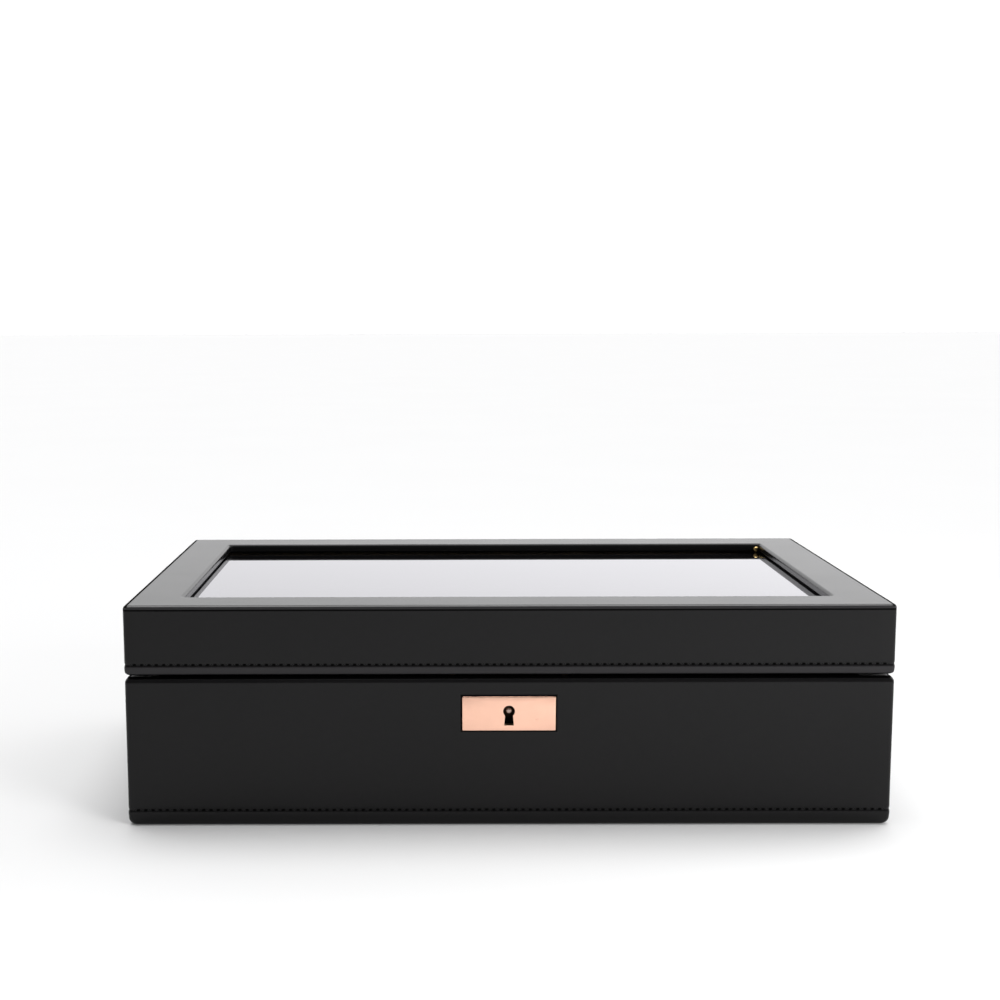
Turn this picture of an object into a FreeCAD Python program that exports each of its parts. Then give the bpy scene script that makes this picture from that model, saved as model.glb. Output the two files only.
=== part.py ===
import FreeCAD, Part
import os

# Leather-covered watch box with a hinged, glazed lid and a link-plate box lock.
# Millimetres. +X is the width, the front faces -Y and +Z is up.
# The origin is on the table plane, under the middle of the box.

# ---- Driving dimensions: the box over its leather ----
WIDTH = 320.0
DEPTH = 200.0
HEIGHT = 94.0
RIM_HEIGHT = 63.6  # table to the base's rim
RIM_GAP = 1.0  # base rim to lid rim with the lid closed

# ---- Boards, leather and edges ----
LEATHER = 1.0
BASE_WALL = 11.0
LID_WALL = 10.5
CORNER_R = 2.0  # upright corners
FOOT_R = 3.5  # lower edge of the base
EDGE_R = 1.5  # both rims, the lid's top edge and the window's edge
FOOT_LIFT = 0.5  # table to the leather turned in under the walls
FLOOR_BOARD = 6.0
FLOOR_LINING = 1.5
BASE_LINING = 2.5  # suede-covered boards that line the base
LIP = 4.9  # how far those boards stand above the base's rim
LIP_CLEARANCE = 0.3  # lip to the boards that line the lid
LID_LINING = 3.0
PAD_INSET = 0.5  # turned-in leather to the pad under the floor

# ---- Window ----
FRAME_WIDTH = 22.0  # outer face of the lid to the window's edge
GLASS_DROP = 4.2  # top of the lid to the top of the glass
GLASS = 3.0
GLASS_CLEARANCE = 0.5  # glass edge to lid wall
PIN_HEAD_R = 1.4  # glazing pin
PIN_HEAD = 2.4
PIN_SHANK_R = 0.5
PIN_LENGTH = 7.0
PIN_HEAD_EDGE = 1.0  # rounding of the head
PIN_LIFT = 0.1  # glass to the head
PIN_FROM_CORNER = 1.6  # along the rear edge of the window, from its right corner

# ---- Compartments and watch pillows ----
COLUMNS = 5
ROWS = 2
DIVIDER = 3.0
DIVIDER_DROP = 7.0  # base rim to the dividers' top edge
LAP_CLEARANCE = 0.1  # round each half-lap joint
PILLOW_CLEARANCE = 1.8  # pillow to compartment wall, each side, across the row
PILLOW_END_CLEARANCE = 3.0  # the same, front and back
PILLOW_LIFT = 0.3  # pillow to floor lining
PILLOW_DROP = 12.0  # base rim to the pillows' top
PILLOW_TOP_R = 15.0
PILLOW_FOOT_R = 9.0

# ---- Hinges: stop hinges on the rear face ----
HINGE_LENGTH = 38.0
HINGE_FROM_END = 65.0  # side of the box to the middle of a hinge
HINGE_SETBACK = 1.2  # rear face to the pin's axis
HINGE_REACH = 11.2  # pin's axis to the front edge of a leaf
LEAF_GAP = 0.1  # between the closed leaves
KNUCKLE_R = 2.4
KNUCKLE_GAP = 0.2  # between knuckles, along the pin
LID_KNUCKLE = 13.6  # length of the middle knuckle
HINGE_PIN_R = 1.0
HINGE_PIN_CLEARANCE = 0.05
BARREL_CLEARANCE = 0.3
STOP_REACH = 4.6  # pin's axis to the tip of the stop tails
STOP_TAIL = 1.0  # thickness of a stop tail
STOP_CLEARANCE = 0.1  # between the tails with the lid fully open
STOP_ANGLE = 60.0  # base tail below the horizontal
LID_OPENING = 95.0  # degrees

# ---- Screws ----
SCREW_HEAD_R = 2.0
SCREW_HEAD = 1.1
SCREW_SHANK_R = 1.1
SCREW_LENGTH = 9.0
SCREW_SLOT = 0.5
HINGE_SCREW_SPREAD = 12.0  # middle of a hinge to a screw
HINGE_SCREW_REACH = 6.9  # pin's axis to a screw

# ---- Lock: all heights are measured down from the base's rim ----
PLATE_WIDTH = 39.0
PLATE_HEIGHT = 14.6
PLATE = 1.0
PLATE_DROP = 15.2  # rim to the plate's middle
KEYHOLE_DROP = 14.15  # rim to the keyhole's round part
KEYHOLE_R = 2.45
KEYHOLE_NECK = 3.05
KEYHOLE_SKIRT = 4.0
KEYHOLE_LENGTH = 6.0  # centre of the round part to the foot of the skirt
KEYWAY_CLEARANCE = 0.5  # round the keyhole, in the leather and behind it
KEY_POST_R = 1.3
KEY_POST_EDGE = 0.8  # rounding of the post's tip
KEY_POST_SETBACK = 0.8  # front of the plate to the tip of the post
CASE_WIDTH = 41.0
CASE_HEIGHT = 22.6
CASE_DEPTH = 7.0
CASE_SHEET = 0.8
CASE_TO_FRONT = 3.1  # wood's outer face to the case
CASE_CLEARANCE = 0.2
SELVEDGE_WIDTH = 54.0
SELVEDGE = 1.2
SELVEDGE_INSET = 2.5  # front of the box to the selvedge
SELVEDGE_SCREW = 23.6  # middle to a selvedge screw
RECESS_CLEARANCE = 0.1  # round the selvedge and the strike plate
LINK_X = (-9.0, 11.0)
LINK = 1.6  # thickness of a link, across the box
LINK_WIDTH = 4.4
LINK_TO_CASE = 0.7  # inner face of the case's front to a link
LINK_LENGTH = 9.0  # lid rim to the link's tip
LINK_WINDOW = 2.8  # width of the hole in a link
LINK_WINDOW_HEIGHT = 3.0
LINK_FOOT = 1.6  # metal below that hole
LINK_SLOT_CLEARANCE = 0.6
STRIKE_WIDTH = 42.0
STRIKE = 1.2
STRIKE_SCREW = 17.0
BOLT = 2.0  # thickness, front to back
BOLT_FINGER = 2.2  # height of a finger
BOLT_FINGER_LENGTH = 4.5
BOLT_POST = 3.0
BOLT_BAR = 4.0  # height of the bar that joins the fingers
BOLT_PLAY = 0.4  # bar to the links' tips, and finger to link when drawn back
BOLT_TRAVEL = 4.0
TALON = 4.0  # notch that the key turns in
TALON_R = 1.2
SPRING = 0.4
SPRING_HEIGHT = 2.5
SPRING_CLEARANCE = 0.2
SPRING_END = 3.8  # end of the case to the end of the spring

# ---- Heights and faces that follow from them ----
HALF_X = WIDTH / 2
HALF_Y = DEPTH / 2
LID_RIM = RIM_HEIGHT + RIM_GAP
WOOD_FOOT = FOOT_LIFT + LEATHER
WOOD_RIM = RIM_HEIGHT - LEATHER
LID_WOOD_RIM = LID_RIM + LEATHER
LID_WOOD_TOP = HEIGHT - LEATHER
BASE_INSIDE = LEATHER + BASE_WALL  # outer face to the inner face of a wall
LID_INSIDE = LEATHER + LID_WALL
FLOOR_TOP = WOOD_FOOT + FLOOR_BOARD
LINED_FLOOR = FLOOR_TOP + FLOOR_LINING
LIP_TOP = RIM_HEIGHT + LIP
ROOM = BASE_INSIDE + BASE_LINING  # outer face to the lined room
GLASS_TOP = HEIGHT - GLASS_DROP
GLASS_FOOT = GLASS_TOP - GLASS
DIVIDER_TOP = RIM_HEIGHT - DIVIDER_DROP
PILLOW_TOP = RIM_HEIGHT - PILLOW_DROP
LEAF = LEATHER + (RIM_GAP - LEAF_GAP) / 2  # a leaf lies on the wood and fills half the gap
AXIS_Y = HALF_Y + HINGE_SETBACK
AXIS_Z = RIM_HEIGHT + RIM_GAP / 2
PLATE_Z = RIM_HEIGHT - PLATE_DROP
KEYHOLE_Z = RIM_HEIGHT - KEYHOLE_DROP
CASE_FRONT = -HALF_Y + LEATHER + CASE_TO_FRONT
CASE_REAR = CASE_FRONT + CASE_DEPTH
CASE_TOP = RIM_HEIGHT - SELVEDGE
CASE_FOOT = CASE_TOP - CASE_HEIGHT
LINK_Y = CASE_FRONT + CASE_SHEET + LINK_TO_CASE + LINK_WIDTH / 2
LINK_TIP = LID_RIM - LINK_LENGTH
MITRE_REACH = 40.0  # past the widest mitred piece, inwards and outwards
FAR = 500.0  # past everything, for cutting tools
TINY = 0.01  # tolerance for finding an edge by its place
SIDES = ("front", "rear", "left", "right")


def vector(x, y, z):
    return FreeCAD.Vector(x, y, z)


def block(x0, x1, y0, y1, z0, z1):
    return Part.makeBox(x1 - x0, y1 - y0, z1 - z0, vector(x0, y0, z0))


def inset_block(inset, z0, z1):
    """A block over the box's plan, drawn in on every side."""
    x = HALF_X - inset
    y = HALF_Y - inset
    return block(-x, x, -y, y, z0, z1)


def ring(outer, inner, z0, z1):
    """The wall between two insets of the box's plan."""
    return inset_block(outer, z0, z1).cut(inset_block(inner, z0, z1))


def fuse(shapes):
    return shapes[0].fuse(shapes[1:]).removeSplitter()


def edges_where(shape, test):
    return [e for e in shape.Edges if all(test(v.Point) for v in e.Vertexes)]


def rounded_shell(z0, z1, foot_r, top_r):
    """The outside of the base or the lid: upright corners, then the edges along X and along Y."""
    upright = inset_block(0, z0, z1)
    corners = [e for e in upright.Edges if abs(e.Vertexes[0].Z - e.Vertexes[1].Z) > 1]
    body = upright.makeFillet(CORNER_R, corners)
    long_x = block(-FAR, FAR, -HALF_Y, HALF_Y, z0, z1)
    long_y = block(-HALF_X, HALF_X, -FAR, FAR, z0, z1)
    for bar, across in ((long_x, 0), (long_y, 1)):
        for level, radius in ((z0, foot_r), (z1, top_r)):
            lines = []
            for edge in bar.Edges:
                a, b = edge.Vertexes[0].Point, edge.Vertexes[1].Point
                if abs(a[across] - b[across]) > FAR and abs(a.z - level) < TINY:
                    lines.append(edge)
            bar = bar.makeFillet(radius, lines)
        body = body.common(bar)
    return body


def mitre_quarter(side):
    """A tall prism over one side of the plan, cut at 45 degrees through the corners."""
    near_x, near_y = HALF_X - MITRE_REACH, HALF_Y - MITRE_REACH
    far_x, far_y = HALF_X + MITRE_REACH, HALF_Y + MITRE_REACH
    outline = {
        "front": [(-far_x, -far_y), (far_x, -far_y), (near_x, -near_y), (-near_x, -near_y)],
        "rear": [(-far_x, far_y), (-near_x, near_y), (near_x, near_y), (far_x, far_y)],
        "left": [(-far_x, -far_y), (-near_x, -near_y), (-near_x, near_y), (-far_x, far_y)],
        "right": [(far_x, -far_y), (far_x, far_y), (near_x, near_y), (near_x, -near_y)],
    }[side]
    points = [vector(x, y, -FAR) for x, y in outline]
    face = Part.Face(Part.makePolygon(points + points[:1]))
    return face.extrude(vector(0, 0, 2 * FAR))


def sides(name, whole):
    """Splits a rectangular ring into four mitred pieces."""
    return {f"{name}_{side}": whole.common(mitre_quarter(side)) for side in SIDES}


def screw(x, y, z, up, slotted=True):
    """A countersunk wood screw whose head's face is at z. up is 1 if the shank points up, else -1."""
    way = vector(0, 0, up)
    head = Part.makeCone(SCREW_HEAD_R, SCREW_SHANK_R, SCREW_HEAD, vector(x, y, z), way)
    shank = Part.makeCylinder(SCREW_SHANK_R, SCREW_LENGTH, vector(x, y, z), way)
    body = fuse([head, shank])
    if not slotted:
        return body
    low, high = sorted((z - up, z + up * SCREW_HEAD / 2))
    slot = block(x - SCREW_HEAD_R, x + SCREW_HEAD_R, y - SCREW_SLOT / 2, y + SCREW_SLOT / 2, low, high)
    return body.cut(slot)


def hinge_screw_places():
    places = []
    for middle in hinge_middles():
        for offset in (-HINGE_SCREW_SPREAD, HINGE_SCREW_SPREAD):
            places.append((middle + offset, AXIS_Y - HINGE_SCREW_REACH))
    return places


def hinge_middles():
    return (-HALF_X + HINGE_FROM_END, HALF_X - HINGE_FROM_END)


def base_leaf_levels():
    top = AXIS_Z - LEAF_GAP / 2
    return top - LEAF, top


def lid_leaf_levels():
    foot = AXIS_Z + LEAF_GAP / 2
    return foot, foot + LEAF


def along_x(radius, middle, length):
    """A cylinder on the hinge axis, centred on middle."""
    return Part.makeCylinder(radius, length, vector(middle - length / 2, AXIS_Y, AXIS_Z), vector(1, 0, 0))


def stop_tail(middle, length, start, side):
    """A stop tail in the fully open position, above (1) or below (-1) the line where the tails meet."""
    gap = STOP_CLEARANCE / 2
    levels = sorted((side * gap, side * (gap + STOP_TAIL)))
    tail = block(middle - length / 2, middle + length / 2, start, STOP_REACH, levels[0], levels[1])
    tail.rotate(vector(middle, 0, 0), vector(1, 0, 0), -STOP_ANGLE)
    tail.translate(vector(0, AXIS_Y, AXIS_Z))
    return tail


def hinge_tools():
    """What both halves of the box leave free for the hinges: the pockets and the barrels' grooves."""
    base_foot = base_leaf_levels()[0]
    lid_top = lid_leaf_levels()[1]
    room = HINGE_LENGTH / 2 + KNUCKLE_GAP
    pockets, grooves = [], []
    for middle in hinge_middles():
        front = AXIS_Y - HINGE_REACH - KNUCKLE_GAP
        pockets.append(block(middle - room, middle + room, front, AXIS_Y, base_foot, lid_top))
        grooves.append(along_x(KNUCKLE_R + BARREL_CLEARANCE, middle, 2 * room))
    return pockets + grooves


def hinge_parts():
    parts = {}
    side_knuckle = (HINGE_LENGTH - LID_KNUCKLE) / 2 - KNUCKLE_GAP
    for name, middle in zip(("left", "right"), hinge_middles()):
        front = AXIS_Y - HINGE_REACH
        half = HINGE_LENGTH / 2
        pin_hole = along_x(HINGE_PIN_R, middle, HINGE_LENGTH)
        # base leaf: plate, two side knuckles and a full-width stop tail
        low, top = base_leaf_levels()
        plate = block(middle - half, middle + half, front, AXIS_Y, low, top)
        plate = plate.cut(along_x(KNUCKLE_R + BARREL_CLEARANCE, middle, LID_KNUCKLE + 2 * KNUCKLE_GAP))
        knuckles = []
        for way in (-1, 1):
            place = middle + way * (half - side_knuckle / 2)
            knuckles.append(along_x(KNUCKLE_R, place, side_knuckle))
            knuckles.append(stop_tail(place, side_knuckle, 0.0, -1))
        wide_tail = stop_tail(middle, HINGE_LENGTH, KNUCKLE_R + BARREL_CLEARANCE, -1)
        leaf = fuse([plate, wide_tail] + knuckles).cut(pin_hole)
        # lid leaf: plate, middle knuckle and its stop tail, which is swung back to the closed position
        foot, high = lid_leaf_levels()
        plate = block(middle - half, middle + half, front, AXIS_Y, foot, high)
        for way in (-1, 1):
            place = middle + way * (half - side_knuckle / 2)
            plate = plate.cut(along_x(KNUCKLE_R + BARREL_CLEARANCE, place, side_knuckle + 2 * KNUCKLE_GAP))
        tail = stop_tail(middle, LID_KNUCKLE, 0.0, 1)
        tail.rotate(vector(middle, AXIS_Y, AXIS_Z), vector(1, 0, 0), LID_OPENING)
        knuckle = along_x(KNUCKLE_R, middle, LID_KNUCKLE)
        bore = along_x(HINGE_PIN_R + HINGE_PIN_CLEARANCE, middle, HINGE_LENGTH)
        lid_leaf = fuse([plate, tail, knuckle]).cut(bore)
        for x, y in hinge_screw_places():
            leaf = leaf.cut(screw(x, y, top, -1, slotted=False))
            lid_leaf = lid_leaf.cut(screw(x, y, foot, 1, slotted=False))
        parts[f"hinge_{name}_base_leaf"] = leaf
        parts[f"hinge_{name}_lid_leaf"] = lid_leaf
        parts[f"hinge_{name}_pin"] = pin_hole
    places = hinge_screw_places()
    base_top, lid_foot = base_leaf_levels()[1], lid_leaf_levels()[0]
    parts["hinge_base_screws"] = Part.makeCompound([screw(x, y, base_top, -1) for x, y in places])
    parts["hinge_lid_screws"] = Part.makeCompound([screw(x, y, lid_foot, 1) for x, y in places])
    return parts


def keyhole(grow, y0, y1):
    """A round hole over a flaring skirt, as a cutting tool from y0 to y1."""
    length = y1 - y0
    way = vector(0, 1, 0)
    hole = Part.makeCylinder(KEYHOLE_R + grow, length, vector(0, y0, KEYHOLE_Z), way)
    foot = KEYHOLE_Z - KEYHOLE_LENGTH - grow
    neck = KEYHOLE_NECK / 2 + grow
    skirt = KEYHOLE_SKIRT / 2 + grow
    outline = [(-neck, KEYHOLE_Z), (neck, KEYHOLE_Z), (skirt, foot), (-skirt, foot)]
    points = [vector(x, y0, z) for x, z in outline]
    flare = Part.Face(Part.makePolygon(points + points[:1])).extrude(vector(0, length, 0))
    return fuse([hole, flare])


def selvedge_screw_places():
    y = (-HALF_Y + SELVEDGE_INSET + CASE_REAR) / 2
    return [(-SELVEDGE_SCREW, y), (SELVEDGE_SCREW, y)]


def strike_screw_places():
    return [(-STRIKE_SCREW, LINK_Y), (STRIKE_SCREW, LINK_Y)]


def strike_block(grow):
    front = -HALF_Y + SELVEDGE_INSET
    rear = -HALF_Y + LID_INSIDE - CASE_CLEARANCE
    x = STRIKE_WIDTH / 2 + grow
    return block(-x, x, front - grow, rear + grow, LID_RIM, LID_RIM + STRIKE)


def selvedge_block(grow):
    x = SELVEDGE_WIDTH / 2 + grow
    front = -HALF_Y + SELVEDGE_INSET
    return block(-x, x, front - grow, CASE_REAR + grow, CASE_TOP, RIM_HEIGHT)


def link_slots():
    gap = LINK_SLOT_CLEARANCE
    slots = []
    for x in LINK_X:
        across = LINK / 2 + gap
        deep = LINK_WIDTH / 2 + gap
        slots.append(block(x - across, x + across, LINK_Y - deep, LINK_Y + deep, CASE_TOP - 2.0, FAR))
    return slots


def lock_tools():
    """What the front wall and its leather leave free for the lock."""
    gap = CASE_CLEARANCE
    x = CASE_WIDTH / 2 + gap
    inside = -HALF_Y + BASE_INSIDE
    pocket = block(-x, x, CASE_FRONT - gap, inside, CASE_FOOT - gap, CASE_TOP)
    keyway = keyhole(KEYWAY_CLEARANCE, -HALF_Y - 1.0, CASE_FRONT)
    tools = [pocket, keyway, selvedge_block(RECESS_CLEARANCE)]
    for x, y in selvedge_screw_places():
        tools.append(screw(x, y, RIM_HEIGHT, -1, slotted=False))
    return tools


def lock_parts():
    x = CASE_WIDTH / 2
    sheet = CASE_SHEET
    case = block(-x, x, CASE_FRONT, CASE_REAR - sheet, CASE_FOOT, CASE_TOP)
    hollow = block(-x + sheet, x - sheet, CASE_FRONT + sheet, FAR, CASE_FOOT + sheet, CASE_TOP - sheet)
    case = fuse([case.cut(hollow), selvedge_block(0.0)])
    case = case.cut(keyhole(KEYWAY_CLEARANCE, CASE_FRONT - 1.0, CASE_FRONT + sheet + 1.0))
    for slot in link_slots():
        case = case.cut(slot)
    for place in selvedge_screw_places():
        case = case.cut(screw(*place, RIM_HEIGHT, -1, slotted=False))
    cap = block(-x, x, CASE_REAR - sheet, CASE_REAR, CASE_FOOT, CASE_TOP)

    across, up = PLATE_WIDTH / 2, PLATE_HEIGHT / 2
    plate = block(-across, across, -HALF_Y - PLATE, -HALF_Y, PLATE_Z - up, PLATE_Z + up)
    plate = plate.cut(keyhole(0.0, -HALF_Y - PLATE - 1.0, -HALF_Y + 1.0))

    tip = -HALF_Y - PLATE + KEY_POST_SETBACK
    length = CASE_REAR - sheet - tip
    post = Part.makeCylinder(KEY_POST_R, length, vector(0, tip, KEYHOLE_Z), vector(0, 1, 0))
    domed = [e for e in post.Edges if abs(e.BoundBox.YMax - tip) < TINY]
    post = post.makeFillet(KEY_POST_EDGE, domed)

    places = selvedge_screw_places()
    screws = Part.makeCompound([screw(px, py, RIM_HEIGHT, -1) for px, py in places])
    return {
        "lock_case": case,
        "lock_cap_plate": cap,
        "lock_plate": plate,
        "lock_key_post": post,
        "lock_screws": screws,
        "lock_bolt": lock_bolt(),
        "lock_detent_spring": lock_detent_spring(),
    }


def bolt_levels():
    """Foot and top of the bolt's bar, under the links, and foot of the fingers, inside the links' holes."""
    top = LINK_TIP - BOLT_PLAY
    window_middle = LINK_TIP + LINK_FOOT + LINK_WINDOW_HEIGHT / 2
    return top - BOLT_BAR, top, window_middle - BOLT_FINGER / 2


def finger_tips():
    return [x - LINK / 2 - BOLT_PLAY for x in LINK_X]


def lock_bolt():
    """The bolt drawn back: a bar with a post and a finger for each link, and a talon for the key."""
    foot, top, finger_foot = bolt_levels()
    y0, y1 = LINK_Y - BOLT / 2, LINK_Y + BOLT / 2
    finger_top = finger_foot + BOLT_FINGER
    solids = []
    for tip in finger_tips():
        root = tip - BOLT_FINGER_LENGTH
        solids.append(block(root - BOLT_POST, root, y0, y1, foot, finger_top))
        solids.append(block(root, tip, y0, y1, finger_foot, finger_top))
    start = finger_tips()[0] - BOLT_FINGER_LENGTH - BOLT_POST
    end = finger_tips()[1] - BOLT_FINGER_LENGTH + BOLT_POST
    bar = block(start, end, y0, y1, foot, top)
    half = TALON / 2
    middle = -BOLT_TRAVEL / 2
    notch = block(middle - half, middle + half, y0 - 1, y1 + 1, foot - 1, foot + TALON_R)
    return fuse([bar] + solids).cut(notch)


def lock_detent_spring():
    """A shallow V of spring strip between the bolt's bar and the cap plate."""
    foot, top, _ = bolt_levels()
    rear = CASE_REAR - CASE_SHEET
    apex = LINK_Y + BOLT / 2 + SPRING_CLEARANCE
    reach = CASE_WIDTH / 2 - SPRING_END
    outline = [
        (-reach, rear),
        (0.0, apex + SPRING),
        (reach, rear),
        (reach, rear - SPRING),
        (0.0, apex),
        (-reach, rear - SPRING),
    ]
    level = top - SPRING_HEIGHT
    points = [vector(x, y, level) for x, y in outline]
    return Part.Face(Part.makePolygon(points + points[:1])).extrude(vector(0, 0, SPRING_HEIGHT))


def strike_parts():
    plate = strike_block(0.0)
    links = []
    for x in LINK_X:
        y0, y1 = LINK_Y - LINK_WIDTH / 2, LINK_Y + LINK_WIDTH / 2
        link = block(x - LINK / 2, x + LINK / 2, y0, y1, LINK_TIP, LID_RIM + STRIKE)
        window_y = LINK_WINDOW / 2
        z0 = LINK_TIP + LINK_FOOT
        hole = block(x - LINK, x + LINK, LINK_Y - window_y, LINK_Y + window_y, z0, z0 + LINK_WINDOW_HEIGHT)
        links.append(link.cut(hole))
    strike = fuse([plate] + links)
    places = strike_screw_places()
    for x, y in places:
        strike = strike.cut(screw(x, y, LID_RIM, 1, slotted=False))
    screws = Part.makeCompound([screw(x, y, LID_RIM, 1) for x, y in places])
    return {"strike_plate": strike, "strike_screws": screws}


def base_parts():
    """Walls, floor, leather, pad and linings of the base."""
    wood = ring(LEATHER, BASE_INSIDE, WOOD_FOOT, WOOD_RIM)
    outside = HALF_X - LEATHER - TINY
    outer_foot = edges_where(wood, lambda p: abs(p.z - WOOD_FOOT) < TINY and abs(p.x) > outside)
    wood = wood.makeFillet(FOOT_R - LEATHER / 2, outer_foot)
    leather = rounded_shell(FOOT_LIFT, RIM_HEIGHT, FOOT_R, EDGE_R)
    leather = leather.cut(wood).cut(inset_block(BASE_INSIDE, 0, FAR))
    tools = hinge_tools()
    for x, y in hinge_screw_places():
        tools.append(screw(x, y, base_leaf_levels()[1], -1, slotted=False))
    wood = wood.cut(tools + lock_tools())
    leather = leather.cut(tools + lock_tools())

    parts = sides("base_wall", wood)
    parts["base_leather"] = leather
    parts["base_floor"] = inset_block(BASE_INSIDE, WOOD_FOOT, FLOOR_TOP)
    parts["base_pad"] = inset_block(BASE_INSIDE + PAD_INSET, 0.0, WOOD_FOOT)
    parts.update(sides("base_lining", ring(BASE_INSIDE, ROOM, FLOOR_TOP, LIP_TOP)))
    parts["floor_lining"] = inset_block(ROOM, FLOOR_TOP, LINED_FLOOR)
    return parts


def compartment_size():
    """Clear width and depth of one compartment."""
    room_x = WIDTH - 2 * ROOM
    room_y = DEPTH - 2 * ROOM
    return (room_x - (COLUMNS - 1) * DIVIDER) / COLUMNS, (room_y - (ROWS - 1) * DIVIDER) / ROWS


def compartment_corner(column, row):
    """Lowest X and Y of a compartment, counted from the left and from the front."""
    wide, deep = compartment_size()
    return (
        -HALF_X + ROOM + column * (wide + DIVIDER),
        -HALF_Y + ROOM + row * (deep + DIVIDER),
    )


def divider_parts():
    """One long divider and the cross dividers, which slot together half and half."""
    room_x = HALF_X - ROOM
    room_y = HALF_Y - ROOM
    lap = (LINED_FLOOR + DIVIDER_TOP) / 2
    long_divider = block(-room_x, room_x, -DIVIDER / 2, DIVIDER / 2, LINED_FLOOR, DIVIDER_TOP)
    slot = DIVIDER / 2 + LAP_CLEARANCE
    parts = {}
    for number in range(1, COLUMNS):
        x = compartment_corner(number, 0)[0] - DIVIDER / 2
        cross = block(x - DIVIDER / 2, x + DIVIDER / 2, -room_y, room_y, LINED_FLOOR, DIVIDER_TOP)
        cross = cross.cut(block(x - DIVIDER, x + DIVIDER, -slot, slot, lap - LAP_CLEARANCE, FAR))
        notch = block(x - slot, x + slot, -DIVIDER, DIVIDER, 0, lap + LAP_CLEARANCE)
        long_divider = long_divider.cut(notch)
        parts[f"cross_divider_{number}"] = cross
    parts["long_divider"] = long_divider
    return parts


def pillow(column, row):
    """A watch pillow: the strap goes round it, front to back."""
    wide, deep = compartment_size()
    x, y = compartment_corner(column, row)
    x0, x1 = x + PILLOW_CLEARANCE, x + wide - PILLOW_CLEARANCE
    y0, y1 = y + PILLOW_END_CLEARANCE, y + deep - PILLOW_END_CLEARANCE
    foot = LINED_FLOOR + PILLOW_LIFT
    body = block(x0, x1, y0, y1, foot, PILLOW_TOP)
    for level, radius in ((PILLOW_TOP, PILLOW_TOP_R), (foot, PILLOW_FOOT_R)):
        lines = [
            e for e in edges_where(body, lambda p: abs(p.z - level) < TINY)
            if abs(e.Vertexes[0].X - e.Vertexes[1].X) > 1
        ]
        body = body.makeFillet(radius, lines)
    return body


def pillow_parts():
    parts = {}
    for row in range(ROWS):
        for column in range(COLUMNS):
            parts[f"watch_pillow_{row * COLUMNS + column + 1}"] = pillow(column, row)
    return parts


def lid_parts():
    """Mitred frame, leather, glass, linings and glazing pin of the lid."""
    under_glass = inset_block(LID_INSIDE, 0, GLASS_TOP)
    wood = inset_block(LEATHER, LID_WOOD_RIM, LID_WOOD_TOP)
    wood = wood.cut(inset_block(LID_INSIDE, 0, GLASS_TOP + LEATHER))
    wood = wood.cut(inset_block(FRAME_WIDTH - LEATHER, 0, FAR))
    window = inset_block(FRAME_WIDTH, 0, FAR)
    leather = rounded_shell(LID_RIM, HEIGHT, EDGE_R, EDGE_R).cut(window)
    window_edge = edges_where(
        leather,
        lambda p: abs(p.z - HEIGHT) < TINY
        and abs(p.x) < HALF_X - FRAME_WIDTH + TINY
        and abs(p.y) < HALF_Y - FRAME_WIDTH + TINY,
    )
    leather = leather.makeFillet(EDGE_R, window_edge)
    leather = leather.cut(wood).cut(under_glass)

    tools = hinge_tools() + [strike_block(RECESS_CLEARANCE)]
    for x, y in hinge_screw_places():
        tools.append(screw(x, y, lid_leaf_levels()[0], 1, slotted=False))
    for x, y in strike_screw_places():
        tools.append(screw(x, y, LID_RIM, 1, slotted=False))
    pin = glazing_pin()
    wood = wood.cut(tools + [pin])
    leather = leather.cut(tools + [pin])

    parts = sides("lid_rail", wood)
    parts["lid_leather"] = leather
    parts["lid_glass"] = inset_block(LID_INSIDE + GLASS_CLEARANCE, GLASS_FOOT, GLASS_TOP)
    lining = ring(LID_INSIDE, LID_INSIDE + LID_LINING, LIP_TOP + LIP_CLEARANCE, GLASS_FOOT)
    parts.update(sides("lid_lining", lining))
    parts["glazing_pin"] = pin
    return parts


def glazing_pin():
    """A round-headed pin driven into the rear edge of the window, just above the glass."""
    x = HALF_X - FRAME_WIDTH - PIN_FROM_CORNER
    y = HALF_Y - FRAME_WIDTH
    z = GLASS_TOP + PIN_HEAD_R + PIN_LIFT
    way = vector(0, 1, 0)
    head = Part.makeCylinder(PIN_HEAD_R, PIN_HEAD, vector(x, y - PIN_HEAD, z), way)
    front = [e for e in head.Edges if abs(e.BoundBox.YMax - (y - PIN_HEAD)) < TINY]
    head = head.makeFillet(PIN_HEAD_EDGE, front)
    shank = Part.makeCylinder(PIN_SHANK_R, PIN_LENGTH, vector(x, y - PIN_HEAD / 2, z), way)
    return fuse([head, shank])


def main():
    os.makedirs("parts", exist_ok=True)
    parts = {}
    groups = (base_parts, divider_parts, pillow_parts, lock_parts, lid_parts, strike_parts, hinge_parts)
    for group in groups:
        parts.update(group())
    for name, shape in sorted(parts.items()):
        if not shape.isValid() or not shape.Solids:
            raise ValueError(f"{name} isn't a valid solid")
        if len(shape.Solids) == 1:
            shape = shape.Solids[0]
        shape.exportStep(f"parts/{name}.step")
    print(len(parts), "nodes")


main()
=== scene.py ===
"""Looks of a leather-covered watch box with a glazed, hinged lid and a link-plate box lock.

The file is laid out as an add-on: sizes, finishes and studio settings are properties,
each group of pieces has an operator, and one panel lists them all.
Lengths are in metres, the front faces -Y and +Z is up.
"""

import math
import random

import bmesh
import bpy
from bpy.props import FloatProperty, FloatVectorProperty, IntProperty, PointerProperty
from bpy.types import Operator, Panel, PropertyGroup
from mathutils import Matrix, Vector


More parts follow.
